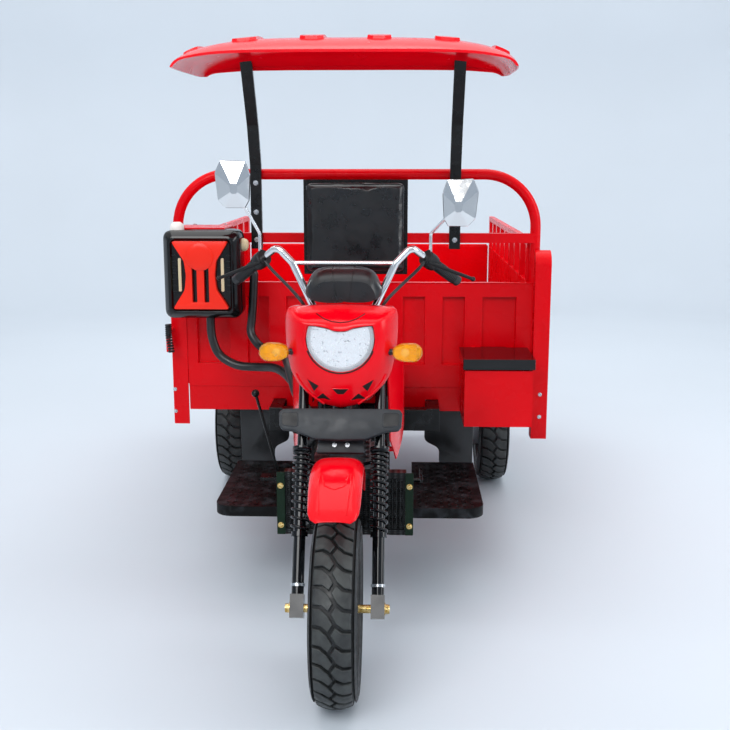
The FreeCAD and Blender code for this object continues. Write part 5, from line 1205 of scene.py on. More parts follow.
class TRICYCLE_OT_lamps(bpy.types.Operator):
    """Fit the headlamp, the turn lamps and the tail lamps with glass, reflectors and bulbs"""

    bl_idname = "tricycle.lamps"
    bl_label = "Lamps"

    def execute(self, context):
        self.headlamp()
        for side, name in SIDES:
            self.turn_lamp(side, name)
            self.tail_lamp(side, name)
        return {"FINISHED"}

    def headlamp(self):
        dome = [(LENS_RADIUS * share, 8.0 * share ** 2) for share in (0.12, 0.35, 0.6, 0.8, 0.93, 1.0)]
        shell = dome + [(radius * 0.985, back + 2.0) for radius, back in reversed(dome)]

        def lens(bm):
            skin(bm, lamp_rings(bm, shell, LAMP_ROUNDS), caps=(0, -1))

        add_piece("headlamp_lens", lens, "glass", "steering", ("headlamp",), 50)
        bowl = [(92, 14), (84, 26), (70, 38), (54, 50), (36, 60), (20, 64), (14, 66)]

        def facets(bm):
            rings = lamp_rings(bm, bowl, 22, 0.5)
            for first, second in zip(rings, rings[1:]):
                for i, here in enumerate(first):
                    j = (i + 1) % len(first)
                    bm.faces.new((here, first[j], second[i]))
                    bm.faces.new((first[j], second[j], second[i]))
            for end in (rings[0], rings[-1]):
                bm.faces.new(end)

        add_piece("headlamp_reflector", facets, "reflector", "steering", degrees=5)
        section = [(97.5, 9), (97.5, 20), (90, 20), (86, 14), (90, 10), (97.5, 9)]

        def trim(bm):
            skin(bm, lamp_rings(bm, section, LAMP_ROUNDS))

        add_piece("headlamp_ring", trim, "wheel", "steering")

        def lamp_arc(radius, back, start, stop):
            steps = [math.radians(start + (stop - start) * step / 24) for step in range(25)]
            return [lamp_place(radius, back, angle) for angle in steps]

        # A black thread round the foot of the lens: painted shade of the gap between the lens and the cowl.
        def gap(bm):
            sweep(bm, lamp_arc(101.0, 4.0, 200, 340), 0.0022, 8)

        add_piece("headlamp_gap", gap, "groove_black", "steering")

        def crescent(bm):
            bands = ((92.0, 11.0), (86.0, 16.0), (79.0, 22.0))
            skin(bm, [ring(bm, lamp_arc(*band, 205, 335)) for band in bands], closed=False)

        add_piece("headlamp_bezel", crescent, "wheel", "steering", degrees=60)

        def bulb(bm):
            place = station(0, LENS_FACE + 22, LENS_HEIGHT)
            profile = [(0, 0), (0, 7), (3, 11), (14, 12), (20, 9), (42, 9), (42, 0)]
            lathe(bm, [(a * MM, r * MM) for a, r in profile], place, (0, 1, 0), 24)

        add_piece("headlamp_bulb", bulb, "wheel", "steering")

    def turn_lamp(self, side, name):
        low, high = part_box("turn_signals")
        face = (low[1] + 0.004) / MM
        back = high[1] / MM
        inner = 150.0
        length = 88.0
        half = 27.0
        shares = ((0, -0.5), (0.3, -0.96), (0.8, -1), (1, -0.45), (1, 0.45), (0.8, 1), (0.3, 0.96), (0, 0.5))
        middle_z = (low[2] + high[2]) / 2 / MM

        def outline(scale, y):
            points = []
            for a, b in shares:
                x = inner + length / 2 + (a - 0.5) * length * scale
                points.append(Vector((side * x * MM, y * MM, (middle_z + b * half * scale) * MM)))
            return rounded(points, 11.0 * MM, 4)

        def lens(bm):
            levels = [(0.9, face - 3), (0.97, face + 1), (1.0, face + 8), (1.0, face + 20)]
            levels += [(0.9, back - 4), (0.6, back)]
            skin(bm, [ring(bm, outline(*level)) for level in levels], caps=(0, -1))

        add_piece("turn_lens_" + name, lens, "amber", "steering", ("turn_signals",), 40)

        def core(bm):
            levels = [(0.84, face + 5), (0.8, face + 12), (0.7, face + 24), (0.5, face + 30)]
            skin(bm, [ring(bm, outline(*level)) for level in levels], caps=(0, -1))

        add_piece("turn_core_" + name, core, "amber_core", "steering", degrees=40)

        def bulb(bm):
            place = Vector((side * (inner + 0.42 * length) * MM, (face + 1) * MM, middle_z * MM))
            profile = [(0, 0), (0.5, 7), (3, 12), (8, 15), (14, 12), (14, 0)]
            lathe(bm, [(a * MM, r * MM) for a, r in profile], place, (0, 1, 0), 24)

        add_piece("turn_bulb_" + name, bulb, "amber_bulb", "steering")

        def stalk(bm):
            y = (face + back) / 2 * MM
            z = middle_z * MM
            sweep(bm, [(side * x, y, z) for x in (0.122, 0.135, 0.154)], 0.0085, 16)
            rib = 0.0095
            for x in (0.138, 0.142, 0.146):
                loop = [(side * x, y + rib * math.cos(turn), z + rib * math.sin(turn)) for turn in turns(16)]
                sweep(bm, loop, 0.0012, 6, closed=True)

        add_piece("turn_stalk_" + name, stalk, "hose", "steering")

    def tail_lamp(self, side, name):
        low, high = box_of("tail_lamps")
        left = high.x - TAIL_WIDTH
        face = high.y

        def box_outline(x0, x1, inset, y):
            points = (
                (x0 + inset, y, low.z + inset),
                (x1 - inset, y, low.z + inset),
                (x1 - inset, y, high.z - inset),
                (x0 + inset, y, high.z - inset),
            )
            return rounded([Vector((side * p[0], p[1], p[2])) for p in points], 0.008)

        def housing(bm):
            slab(bm, box_outline(left, high.x, 0, low.y), (0, face - low.y - TAIL_RECESS, 0))

        add_piece(
            "tail_housing_" + name,
            housing,
            "gloss",
            "chassis",
            ("tail_lamps",),
            bevel_mm=1.5,
        )
        spans = (
            ("red", 0.0, 0.5, "tail"), ("amber", 0.5, 0.78, "amber"), ("clear", 0.78, 1.0, "glass_frost")
        )
        for part, start, end, key in spans:
            x0, x1 = (left + TAIL_RIM + (high.x - left - 2 * TAIL_RIM) * share for share in (start, end))

            def lens(bm):
                slab(bm, box_outline(x0, x1, TAIL_RIM, face - TAIL_RECESS), (0, TAIL_RECESS - 0.001, 0))

            add_piece("tail_lens_%s_%s" % (part, name), lens, key, "chassis", bevel_mm=2.5)


# Front end

PLATE_FACE = 91.0
LAMP_OPENING = 99.5
FAIRING_FACE = 193.0
FAIRING_REAR = 280.0
FAIRING_EDGE = ((0, 1097), (60, 1096), (112, 1093), (148, 1094), (162, 1088), (168, 1066), (168, 1025))
FAIRING_EDGE += ((165, 985), (159, 945), (149, 905), (129, 870), (97, 836), (52, 808), (0, 797))
FAIRING_VENTS = (
    ((62, 872), (98, 892), (78, 852)),
    ((27, 826), (52, 850), (74, 828)),
    ((-25, 864), (25, 864), (9, 846), (-9, 846)),
)


class TRICYCLE_OT_front(bpy.types.Operator):
    """Shape the nose, the mudguard and the front plate, and fit their beads, bolts and nuts"""

    bl_idname = "tricycle.front"
    bl_label = "Front end trim"

    def execute(self, context):
        trim = context.scene.tricycle_trim
        bolts = hex_bolt(trim.bolt_flat / MM, trim.bolt_height / MM)
        self.fairing()
        fender = surface_of(self.fender().data)

        def fender_lines(bm):
            for side in (1, -1):
                line = spread([(side * 40, 682), (side * 43, 668), (side * 41, 650), (side * 36, 610)], 5)
                sweep(bm, front_trace(fender, line), 0.0018, 8)
            scoop = spread([(-34, 680), (-27, 664), (0, 658), (27, 664), (34, 680)], 5)
            sweep(bm, front_trace(fender, scoop), 0.0018, 8)

        add_piece("fender_beads", fender_lines, "body", "steering")
        self.plate()
        marks = [(on_fork(side * 88, 52, 520), fork_ahead(), 0.2) for side in (1, -1)]
        marks += [(on_fork(side * 132, 52, 520), fork_ahead(), 0.5) for side in (1, -1)]
        set_parts("clamp_bolts", bolts, marks, "zinc", "steering")
        centre = joint_place("front_wheel_spin")
        marks = [(centre + Vector((side * 0.1340, 0, 0)), (side, 0, 0), 0.3) for side in (1, -1)]
        set_parts("axle_nuts", hex_bolt(*AXLE_NUT), marks, "gold", "steering")

        def slider_rings(bm):
            for side in (1, -1):
                for along, radius in ((64, 20.5), (208, 19.5)):
                    place = on_fork(side * 114, 35, along)
                    profile = [(-0.004, 0.0172), (-0.004, radius * MM), (0.004, radius * MM), (0.004, 0.0172)]
                    lathe(bm, profile, place, fork_up(), 32, closed=True)

        add_piece("slider_rings", slider_rings, "zinc", "steering")
        return {"FINISHED"}

    def fender(self):
        """The front mudguard: one crowned shell round the tyre, with turned-down sides."""
        centre = joint_place("front_wheel_spin")
        path = ((40, 415, 70), (52, 420, 73), (66, 425, 74), (80, 426, 75), (92, 420, 75))
        path += ((102, 407, 74), (110, 394, 72), (115, 386, 69), (118.5, 380, 61), (120.5, 377, 46))
        path = spread(path, 5)
        across = [-1 + 2 * step / 20 for step in range(21)]

        def shell(bm):
            rows = []
            for degrees, radius, half in path:
                turn = math.radians(degrees)
                row = []
                skirt = 24 * min(1.0, (122 - degrees) / 14)
                for share in across:
                    reach = (radius - 5 * share ** 2 - skirt * share ** 6) * MM
                    at = Vector((half * share * MM, reach * math.cos(turn), reach * math.sin(turn)))
                    row.append(bm.verts.new(centre + at))
                rows.append(row)
            skin(bm, rows, closed=False)

        piece = add_piece("fender_shell", shell, "body", "steering", ("front_fender",), 60)
        thicken(piece)

        def stays(bm):
            for side in (1, -1):
                foot = centre + Vector((side * 0.060, 0.197, 0.362))
                leg = on_fork(side * 108, 0, 430)
                sweep(bm, [foot, foot.lerp(leg, 0.5), leg], 0.006, 12)

        add_piece("fender_stays", stays, "fork", "steering")
        return piece

    def fairing(self):
        """The nose: one smooth shell from the lamp opening round to the rear edge."""
        rounds = 120
        rows = 16
        centre = Vector((0, LENS_HEIGHT))
        edge = [Vector(p) for p in FAIRING_EDGE]
        edge += [Vector((-p.x, p.y)) for p in reversed(edge[1:-1])]

        def reach(direction):
            best = 0.0
            for first, second in zip(edge, edge[1:] + edge[:1]):
                run = second - first
                cross = direction.x * run.y - direction.y * run.x
                if abs(cross) < 1e-9:
                    continue
                off = first - centre
                distance = (off.x * run.y - off.y * run.x) / cross
                share = (off.x * direction.y - off.y * direction.x) / cross
                if distance > 0 and -1e-6 <= share <= 1 + 1e-6:
                    best = max(best, distance)
            return best

        def shell(bm):
            loops = [[] for _ in range(rows + 4)]
            for angle in turns(rounds):
                way = Vector((math.cos(angle), math.sin(angle)))
                inner_x = LAMP_OPENING * way.x
                inner = Vector((inner_x, under_cowl(inner_x, LENS_HEIGHT + LAMP_OPENING * way.y) + 2))
                outer = centre + way * reach(way)
                rear = FAIRING_REAR + (25 if way.y > 0 else 44) * way.y
                loops[0].append(bm.verts.new(station(inner.x, FAIRING_FACE + 10, inner.y)))
                for row in range(rows + 1):
                    share = row / rows
                    flat = inner.lerp(outer, share)
                    back = FAIRING_FACE + (rear - FAIRING_FACE) * share ** 2.3
                    loops[row + 1].append(bm.verts.new(station(flat.x, back, flat.y)))
                for index, (drop, inset) in enumerate(((10, 1.5), (58, 6.0))):
                    flat = outer - way * inset
                    loops[rows + 2 + index].append(bm.verts.new(station(flat.x, rear + drop, flat.y)))
            skin(bm, loops)

        piece = add_piece("fairing_shell", shell, "body", "steering", ("fairing",), 60)
        thicken(piece)
        nose = surface_of(piece.data)

        def trim(bm):
            for side in (1, -1):
                blade = spread([(side * x, z) for x, z in ((132, 902), (112, 866), (84, 836), (50, 812))], 5)
                sweep(bm, front_trace(nose, blade), 0.0042, 10)
            sweep(bm, front_trace(nose, spread([(0, 824), (0, 803)], 5)), 0.0014, 8)
            for side in (1, -1):
                lip = spread([(side * x, z) for x, z in ((104, 985), (109, 1012), (104, 1040))], 5)
                sweep(bm, front_trace(nose, lip), 0.0016, 8)

        add_piece("fairing_blades", trim, "body", "steering")

        def smile(bm):
            # A dark red bead along the groove: painted shade in the moulded groove.
            line = [(-70, 1079), (-48, 1068), (-24, 1060), (0, 1057), (24, 1060), (48, 1068), (70, 1079)]
            sweep(bm, front_trace(nose, spread(line, 5)), 0.0021, 8)

        add_piece("fairing_groove", smile, "groove", "steering")

        def vent_outline(points, side, share=1.0):
            middle = sum((Vector(p) for p in points), Vector((0, 0))) / len(points)
            corners = rounded([(side * x, 0, z) for x, z in points], 3.0, 3)
            centre = Vector((side * middle.x, middle.y))
            return [tuple(centre + (Vector((p.x, p.z)) - centre) * share) for p in corners]

        slots = [
            (points, side) for points in FAIRING_VENTS for side in ((1, -1) if points[0][0] > 0 else (1,))
        ]

        # Each vent is a black dish laid on the face of the shell, which has no opening there: painted shade
        # for the dark hollow behind the vent.
        def vents(bm):
            for points, side in slots:
                shares = (1.0, 0.8, 0.6, 0.4, 0.2, 0.05)
                traces = [front_trace(nose, vent_outline(points, side, share), 0.8) for share in shares]
                skin(bm, [ring(bm, trace) for trace in traces], caps=(-1,))

        add_piece("fairing_vents", vents, "groove_black", "steering", degrees=60)

        def vent_rims(bm):
            for points, side in slots:
                sweep(bm, front_trace(nose, vent_outline(points, side)), 0.0013, 6, closed=True)

        add_piece("fairing_vent_rims", vent_rims, "body", "steering")

    def plate(self):
        """The dark shield across the fork, with a bare face and a rimmed pad at each end."""
        right = ((0, 568), (122, 568), (172, 566), (181, 554), (178, 514))
        right += ((168, 503), (134, 500), (108, 489), (74, 476), (0, 473))
        outline = [on_fork(x, PLATE_FACE, along) for x, along in right]
        outline += [on_fork(-x, PLATE_FACE, along) for x, along in reversed(right[1:-1])]
        outline = rounded(outline, 0.004, 4)

        def board(bm):
            slab(bm, outline, fork_ahead() * -0.022)

        add_piece("plate_board", board, "satin", "steering", ("front_plate",), bevel_mm=5.0)

        def pad_outline(side, inset):
            points = ((124 + inset, 512 + inset), (171 - inset, 516 + inset))
            points += ((173 - inset, 554 - inset), (124 + inset, 555 - inset))
            return rounded([on_fork(side * x, PLATE_FACE + 0.2, along) for x, along in points], 0.009)

        def rims(bm):
            for side in (1, -1):
                sweep(bm, pad_outline(side, 0), 0.0017, 8, closed=True)

        add_piece("plate_rims", rims, "satin", "steering")

        def pads(bm):
            for side in (1, -1):
                slab(bm, pad_outline(side, 1.5), fork_ahead() * 0.0005)

        add_piece("plate_pads", pads, "grained", "steering")

        def yoke_cover(bm):
            corners = ((-72, 446), (72, 446), (66, 486), (-66, 486))
            slab(bm, rounded([on_fork(x, 40, along) for x, along in corners], 0.006), fork_ahead() * -0.024)

        add_piece("yoke_cover", yoke_cover, "satin", "steering", bevel_mm=2.0)
        marks = [(on_fork(side * 19, 40, 470), fork_ahead(), 0.4) for side in (1, -1)]
        set_parts("yoke_bolts", hex_bolt(*SMALL_BOLT), marks, "zinc", "steering")


GRIP_KNEE = (205, 432, 1256)
GRIP_END = (352, 565, 1140)
GRIP_LENGTH = 0.110
POD_BACK = 0.141
MIRROR_PLACES = ((1, 352.0, 1390.9), (-1, -336.9, 1444.9))
MIRROR_HALF = (54, 71)
MIRROR_CUT = 0.32


class TRICYCLE_OT_controls(bpy.types.Operator):
    """Rib the grips and fit the switch pods, the mirror glasses and their gaskets"""

    bl_idname = "tricycle.controls"
    bl_label = "Handlebar controls"

    def execute(self, context):
        trim = context.scene.tricycle_trim
        knee = station(*GRIP_KNEE)
        end = station(*GRIP_END)
        for side, name in SIDES:
            along = end - knee
            along = Vector((side * along.x, along.y, along.z)).normalized()
            tip = Vector((side * end.x, end.y, end.z))

            def rib(bm):
                profile = [(-0.0018, 0.0164), (-0.0012, 0.0180), (0.0012, 0.0180), (0.0018, 0.0164)]
                lathe(bm, profile, tip - along * GRIP_LENGTH, along, 24, closed=True)

            count = int((GRIP_LENGTH - 0.006) / trim.rib_pitch)
            values = {"Count": count, "Step": along * trim.rib_pitch, "Material": finish("hose")}
            grow(
                "grip_ribs_" + name,
                mesh_from("grip_rib", rib),
                row_tree(),
                values,
                "steering",
            )

            def switch_pod(bm):
                place = tip - along * POD_BACK
                profile = [
                    (-0.019, 0),
                    (-0.019, 0.022),
                    (-0.014, 0.0262),
                    (0.012, 0.0262),
                    (0.018, 0.023),
                    (0.018, 0),
                ]
                lathe(bm, profile, place, along, 28)
                for offset in (-0.006, 0.006):
                    spot = place + along * offset + Vector((0, 0, 0.023))
                    lathe(bm, [(0, 0), (0, 0.004), (0.007, 0.0035), (0.007, 0)], spot, (0, -0.2, 1), 12)

            add_piece("switch_pod_" + name, switch_pod, "grained", "steering")
        wide, tall = MIRROR_HALF
        cut = MIRROR_CUT
        outline = (
            (-wide * (1 - cut), -tall),
            (wide * (0.75 - cut), -tall),
            (wide * 0.85, -tall * (1 - cut)),
            (wide, tall * (1 - cut * 1.6)),
            (wide * (1 - cut), tall),
            (-wide * (1 - cut * 0.8), tall * 0.96),
            (-wide, tall * (0.7 - cut)),
            (-wide * 0.92, -tall * (1 - cut)),
        )

        def glasses(bm):
            for side, x, z in MIRROR_PLACES:
                points = [station(x + side * a * 0.93, 432.2, z + b * 0.94) for a, b in outline]
                slab(bm, rounded(points, 0.008), (0, 0.0015, 0))

        add_piece("mirror_glasses", glasses, "mirror", "steering")

        def gaskets(bm):
            for side, x, z in MIRROR_PLACES:
                points = [station(x + side * a * 0.97, 432.0, z + b * 0.975) for a, b in outline]
                sweep(bm, rounded(points, 0.008), 0.0022, 8, closed=True)

        add_piece("mirror_gaskets", gaskets, "hose", "steering")
        return {"FINISHED"}


# Body and box


def plate_with_holes(bm, outline, holes, depth):
    """Flat plate with cut-outs, pushed along a depth vector."""
    edges = []
    for loop in [outline] + list(holes):
        verts = [bm.verts.new(Vector(p)) for p in loop]
        edges += [bm.edges.new((verts[i - 1], verts[i])) for i in range(len(verts))]
    bmesh.ops.triangle_fill(bm, use_beauty=True, use_dissolve=False, edges=edges)
    made = bmesh.ops.extrude_face_region(bm, geom=bm.faces[:])["geom"]
    bmesh.ops.translate(bm, vec=Vector(depth), verts=[g for g in made if isinstance(g, bmesh.types.BMVert)])


class TRICYCLE_OT_filter(bpy.types.Operator):
    """Mould the air filter's rounded frame, its orange grille, clips, vents and caps"""

    bl_idname = "tricycle.filter"
    bl_label = "Air filter"

    def execute(self, context):
        low, high = box_of("air_filter_box")
        middle = (low + high) / 2

        def frame_loop(bm, inset, y, corner):
            points = (
                (low.x + inset, y, low.z + inset),
                (high.x - inset, y, low.z + inset),
                (high.x - inset, y, high.z - inset),
                (low.x + inset, y, high.z - inset),
            )
            return ring(bm, rounded(points, corner, 6))

        def shell(bm):
            front = low.y
            levels = (
                (0.0, high.y, 0.034),
                (0.0, front + 0.030, 0.034),
                (0.003, front + 0.022, 0.034),
                (0.020, front + 0.002, 0.026),
                (0.026, front, 0.022),
                (0.030, front + 0.001, 0.020),
                (0.036, front + 0.009, 0.018),
            )
            skin(bm, [frame_loop(bm, *level) for level in levels], caps=(0, -1))

        add_piece("filter_shell", shell, "gloss", "chassis", ("air_filter_box",), 28)
        panel_y = low.y + 0.009

        def spot(x, z, y=None):
            return Vector((middle.x + x * MM, panel_y if y is None else y, middle.z + z * MM))

        grille_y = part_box("air_filter_grille")[0][1]
        half_outline = ((101, -122), (94, -108), (58, -52), (52, 0), (58, 52), (96, 112), (101, 124))
        outline = [spot(x, z, grille_y) for x, z in half_outline]
        outline += [spot(-x, z, grille_y) for x, z in reversed(half_outline)]
        outline = rounded(outline, 0.009, 4)

        def slot(x):
            corners = ((x - 9, -98), (x + 9, -98), (x + 9, 34), (x - 9, 34))
            return rounded([spot(a, b, grille_y) for a, b in corners], 0.004, 3)

        def grille(bm):
            plate_with_holes(bm, outline, [slot(-22), slot(22)], (0, panel_y - grille_y - 0.0002, 0))

        replaced = ("air_filter_grille",)
        add_piece("filter_grille", grille, "grille", "chassis", replaced, 30, bevel_mm=2.0)

        def disc(bm):
            profile = [
                (-0.001, 0), (-0.001, 0.050), (0.001, 0.050), (0.003, 0.046), (0.0042, 0.03), (0.0046, 0.0)
            ]
            lathe(bm, profile, spot(0, 68, grille_y), (0, -1, 0), 40)

        add_piece("filter_disc", disc, "grille", "chassis", degrees=40)

        def clips(bm):
            for x in (-78, 78):
                corners = ((x - 5.5, -60), (x + 5.5, -60), (x + 5.5, 62), (x - 5.5, 62))
                slab(bm, rounded([spot(a, b) for a, b in corners], 0.005), (0, -0.006, 0))

        add_piece("filter_clips", clips, "cream", "chassis", bevel_mm=1.2)

        def dash(bm):
            corners = [(-0.010, -0.0016, 0), (0.010, -0.0016, 0), (0.010, 0.0016, 0), (-0.010, 0.0016, 0)]
            slab(bm, rounded(corners, 0.0012, 2), (0, 0, 0.0015))

        marks = [(spot(side * 104, z), (0, -1, 0), 0.0) for side in (1, -1) for z in range(72, -61, -22)]
        set_parts(
            "filter_vents", mesh_from("filter_vent", dash), marks, "grained", "chassis"
        )
        caps = [(Vector((-0.6474, middle.y, high.z - 0.002)), (0, 0, 1), 0.0)]
        set_parts("filter_cap_top", round_cap(26, 30), caps, "pale_cap", "chassis")
        caps = [(Vector((high.x - 0.002, middle.y + 0.02, station(0, 0, 1212).z)), (1, 0, 0), 0.0)]
        set_parts("filter_cap_side", round_cap(24, 24), caps, "cream", "chassis")
        return {"FINISHED"}


POST_BOLTS = [(side * 380, z) for side in (1, -1) for z in (1219, 1324, 1434)]
GUARD_BOLTS = [(side * 206, z) for side in (1, -1) for z in (366, 498)]
CORNER_BOLTS = ((-716, 629), (716, 629), (716, 540), (-716, 540))


class TRICYCLE_OT_box(bpy.types.Operator):
    """Fit the box with its bolts, latch grip, splash guards and the tailgate's rolled edge"""

    bl_idname = "tricycle.box"
    bl_label = "Cargo box hardware"

    def execute(self, context):
        trim = context.scene.tricycle_trim
        bolts = hex_bolt(trim.bolt_flat / MM, trim.bolt_height / MM)

        def bolt_marks(node, spots):
            marks = []
            for x, z in spots:
                place, normal = on_surface(node, (x * MM, -4.0, z * MM), (0, 1, 0))
                marks.append((place, normal, 0.3))
            return marks

        set_parts("post_bolts", bolts, bolt_marks("roof_posts", POST_BOLTS), "zinc", "chassis")
        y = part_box("guard_hoop")[0][1] + 0.001
        marks = [(Vector((x * MM, y, 1.2700)), (0, -1, 0), 0.3) for x in (-622, -503)]
        set_parts("bracket_bolts", bolts, marks, "zinc", "chassis")
        set_parts(
            "guard_bolts", bolts, bolt_marks("radiator_guards", GUARD_BOLTS), "gold", "chassis"
        )
        marks = bolt_marks("box_posts", CORNER_BOLTS)
        set_parts("corner_bolts", hex_bolt(*SMALL_BOLT), marks, "zinc", "chassis")

        def latch_grip(bm):
            points = [station(-722, 1192, 894), station(-721, 1188, 850), station(-712, 1184, 792)]
            profile = [(-0.0042, 0), (-0.0042, 0.010), (-0.0015, 0.0135)]
            profile += [(0.0015, 0.0135), (0.0042, 0.010), (0.0042, 0)]
            for step in range(12):
                share = step / 11
                if share < 0.5:
                    place = points[0].lerp(points[1], share * 2)
                else:
                    place = points[1].lerp(points[2], share * 2 - 1)
                lathe(bm, profile, place, points[0] - points[2], 18)

        add_piece("latch_grips", latch_grip, "hose", "chassis")

        def splash_guards(bm):
            for side in (1, -1):
                points = [
                    (0.275, 0.60), (0.275, 0.40), (0.335, 0.37), (0.335, 0.30), (0.470, 0.285), (0.475, 0.60)
                ]
                y = station(0, 1338, 0).y
                slab(bm, rounded([(side * x, y, z) for x, z in points], 0.02), (0, 0.006, 0))

        add_piece("splash_guards", splash_guards, "hose", "chassis", bevel_mm=1.5)
        low, high = box_of("tailgate")

        def rolled_edge(bm):
            y = low.y + 0.009
            left, right = low.x + 0.004, high.x - 0.004
            foot, top = low.z + 0.06, high.z + 0.004
            points = [Vector(p) for p in ((left, y, foot), (left, y, top), (right, y, top), (right, y, foot))]
            for first, second in zip(points, points[1:]):
                sweep(bm, [first, (first + second) / 2, second], 0.0075, 12)

        add_piece("tailgate_rolled_edge", rolled_edge, "enamel", "tailgate")
        return {"FINISHED"}


BOARD_INNER = 0.222
BOARD_MARGIN = 0.022
BOARD_CORNER = 0.060
FIN_PITCH = 0.006
CORE_TUBES = 30


class TRICYCLE_OT_boards(bpy.types.Operator):
    """Emboss the footboards with lozenges and stand the fins in the radiator"""

    bl_idname = "tricycle.boards"
    bl_label = "Footboards and radiator"

    def execute(self, context):
        trim = context.scene.tricycle_trim
        low, high = box_of("footboards")
        pitch = trim.stud_pitch
        marks = []
        rows = int((high.y - low.y - 0.03) / pitch)
        columns = int((high.x - BOARD_INNER - 0.03) / pitch)
        for row in range(rows):
            for column in range(columns):
                x = BOARD_INNER + BOARD_MARGIN + column * pitch
                y = low.y + BOARD_MARGIN + row * pitch
                off = Vector((x - (high.x - BOARD_CORNER), (low.y + BOARD_CORNER) - y))
                if off.x > 0 and off.y > 0 and off.length > BOARD_CORNER - 0.014:
                    continue
                spin = math.radians(45 if (row + column) % 2 else -45)
                for side in (1, -1):
                    marks.append((Vector((side * x, y, high.z)), (0, 0, 1), spin))
        length = pitch * 0.42
        width = pitch * 0.13
        tall = trim.stud_height

        def lozenge(bm):
            outline = [(length, 0), (0, width), (-length, 0), (0, -width)]
            foot = ring(bm, [(x, y, -0.0005) for x, y in outline])
            top = ring(bm, [(x * 0.7, y * 0.5, tall) for x, y in outline])
            skin(bm, [foot, top], caps=(0, -1))

        set_parts(
            "board_lozenges",
            mesh_from("board_lozenge", lozenge, 20),
            marks,
            "board",
            "chassis",
        )
        low, high = box_of("radiator")
        tank = (high.z - low.z) * 0.1

        def fin(bm):
            y = low.y + 0.003
            corners = [
                (low.x + 0.006, y, low.z + tank),
                (high.x - 0.006, y, low.z + tank),
                (high.x - 0.006, y + 0.010, low.z + tank),
                (low.x + 0.006, y + 0.010, low.z + tank),
            ]
            slab(bm, corners, (0, 0, 0.0012))

        count = int((high.z - low.z - 2 * tank) / FIN_PITCH)
        values = {"Count": count, "Step": Vector((0, 0, FIN_PITCH)), "Material": finish("radiator")}
        grow("radiator_fins", mesh_from("radiator_fin", fin), row_tree(), values, "chassis")

        def tube(bm):
            x = low.x + 0.014
            corners = [(x, low.y + 0.002, low.z + tank), (x + 0.003, low.y + 0.002, low.z + tank)]
            corners += [(x + 0.003, low.y + 0.014, low.z + tank), (x, low.y + 0.014, low.z + tank)]
            slab(bm, corners, (0, 0, high.z - low.z - 2 * tank))

        step = (high.x - low.x - 0.031) / (CORE_TUBES - 1)
        values = {"Count": CORE_TUBES, "Step": Vector((step, 0, 0)), "Material": finish("frame")}
        grow(
            "radiator_tubes",
            mesh_from("radiator_tube", tube),
            row_tree(),
            values,
            "chassis",
        )
        return {"FINISHED"}


class TRICYCLE_OT_edges(bpy.types.Operator):
    """Round the cut edges of the sheet metal and mouldings"""

    bl_idname = "tricycle.edges"
    bl_label = "Rounded edges"

    def execute(self, context):
        sheet = (
            "cargo_front_wall",
            "cargo_side_left",
            "cargo_side_right",
            "tailgate",
            "cargo_floor",
            "battery_box",
        )
        soften_edges(sheet, 2.2)
        soften_edges(("battery_box_lid", "seat_base", "footboards"), 4.0, 3)
        soften_edges(
            ("roof_posts", "backrest_plate", "radiator_guards", "filter_bracket", "chassis_rails"), 1.2
        )
        soften_edges(("engine",), 3.0)
        return {"FINISHED"}


# Finishes of the solid pieces that show

COATS = {
    "enamel": (
        "cargo_floor", "cargo_front_wall", "cargo_side_left", "cargo_side_right", "tailgate", "box_posts",
        "guard_hoop", "battery_box", "filter_bracket",
    ),
    "body": ("side_shrouds", "fuel_tank"),
    "roof": ("roof",),
    "frame": (
        "main_frame", "chassis_rails", "leaf_springs", "rear_axle", "drive_shaft", "roof_posts",
        "backrest_plate", "seat_base", "foot_pedals", "hand_lever", "tailgate_hinges",
    ),
    "fork": ("fork", "fork_springs"),
    "board": ("footboards",),
    "grained": ("hand_controls",),
    "vinyl": ("dash_hood",),
    "gloss": ("battery_box_lid",),
    "chrome": ("handlebar", "mirror_heads", "mirror_stems"),
    "gold": ("front_axle",),
    "alloy": ("engine",),
    "hose": ("air_hoses", "hand_grips", "control_cables"),
    "radiator": ("radiator",),
    "green": ("radiator_guards",),
    "wheel": ("front_rim", "rear_rim_left", "rear_rim_right"),
    "exhaust": ("exhaust",),
}


class TRICYCLE_OT_finishes(bpy.types.Operator):
    """Make every finish from the colour settings and coat the solid pieces"""

    bl_idname = "tricycle.finishes"
    bl_label = "Finishes"

    def execute(self, context):
        make_finishes(context.scene.tricycle_paint)
        for key, names in COATS.items():
            for name in names:
                coated(frame["nodes"][name].data, key)
        return {"FINISHED"}


# Studio, in metres: each softbox has its place, what it faces, its size and its share of the key light

DISH_RADIUS = 10.0
DISH_BEND = 3.0
DISH_RIM = 6.0
SOFTBOXES = (
    ("front_softbox", (-1.6, -6.0, 4.6), (0, 0, 0.9), (4.0, 3.0), 1.0),
    ("overhead_softbox", (0.0, 0.2, 5.6), (0, 0, 0), (5.0, 5.0), 0.5),
    ("backdrop_softbox", (0.0, 3.5, 8.0), (0, 9.0, 2.5), (12.0, 2.0), 1.3),
    ("right_softbox", (5.0, -2.0, 2.6), (0, 0, 0.9), (2.2, 3.4), 0.35),
)


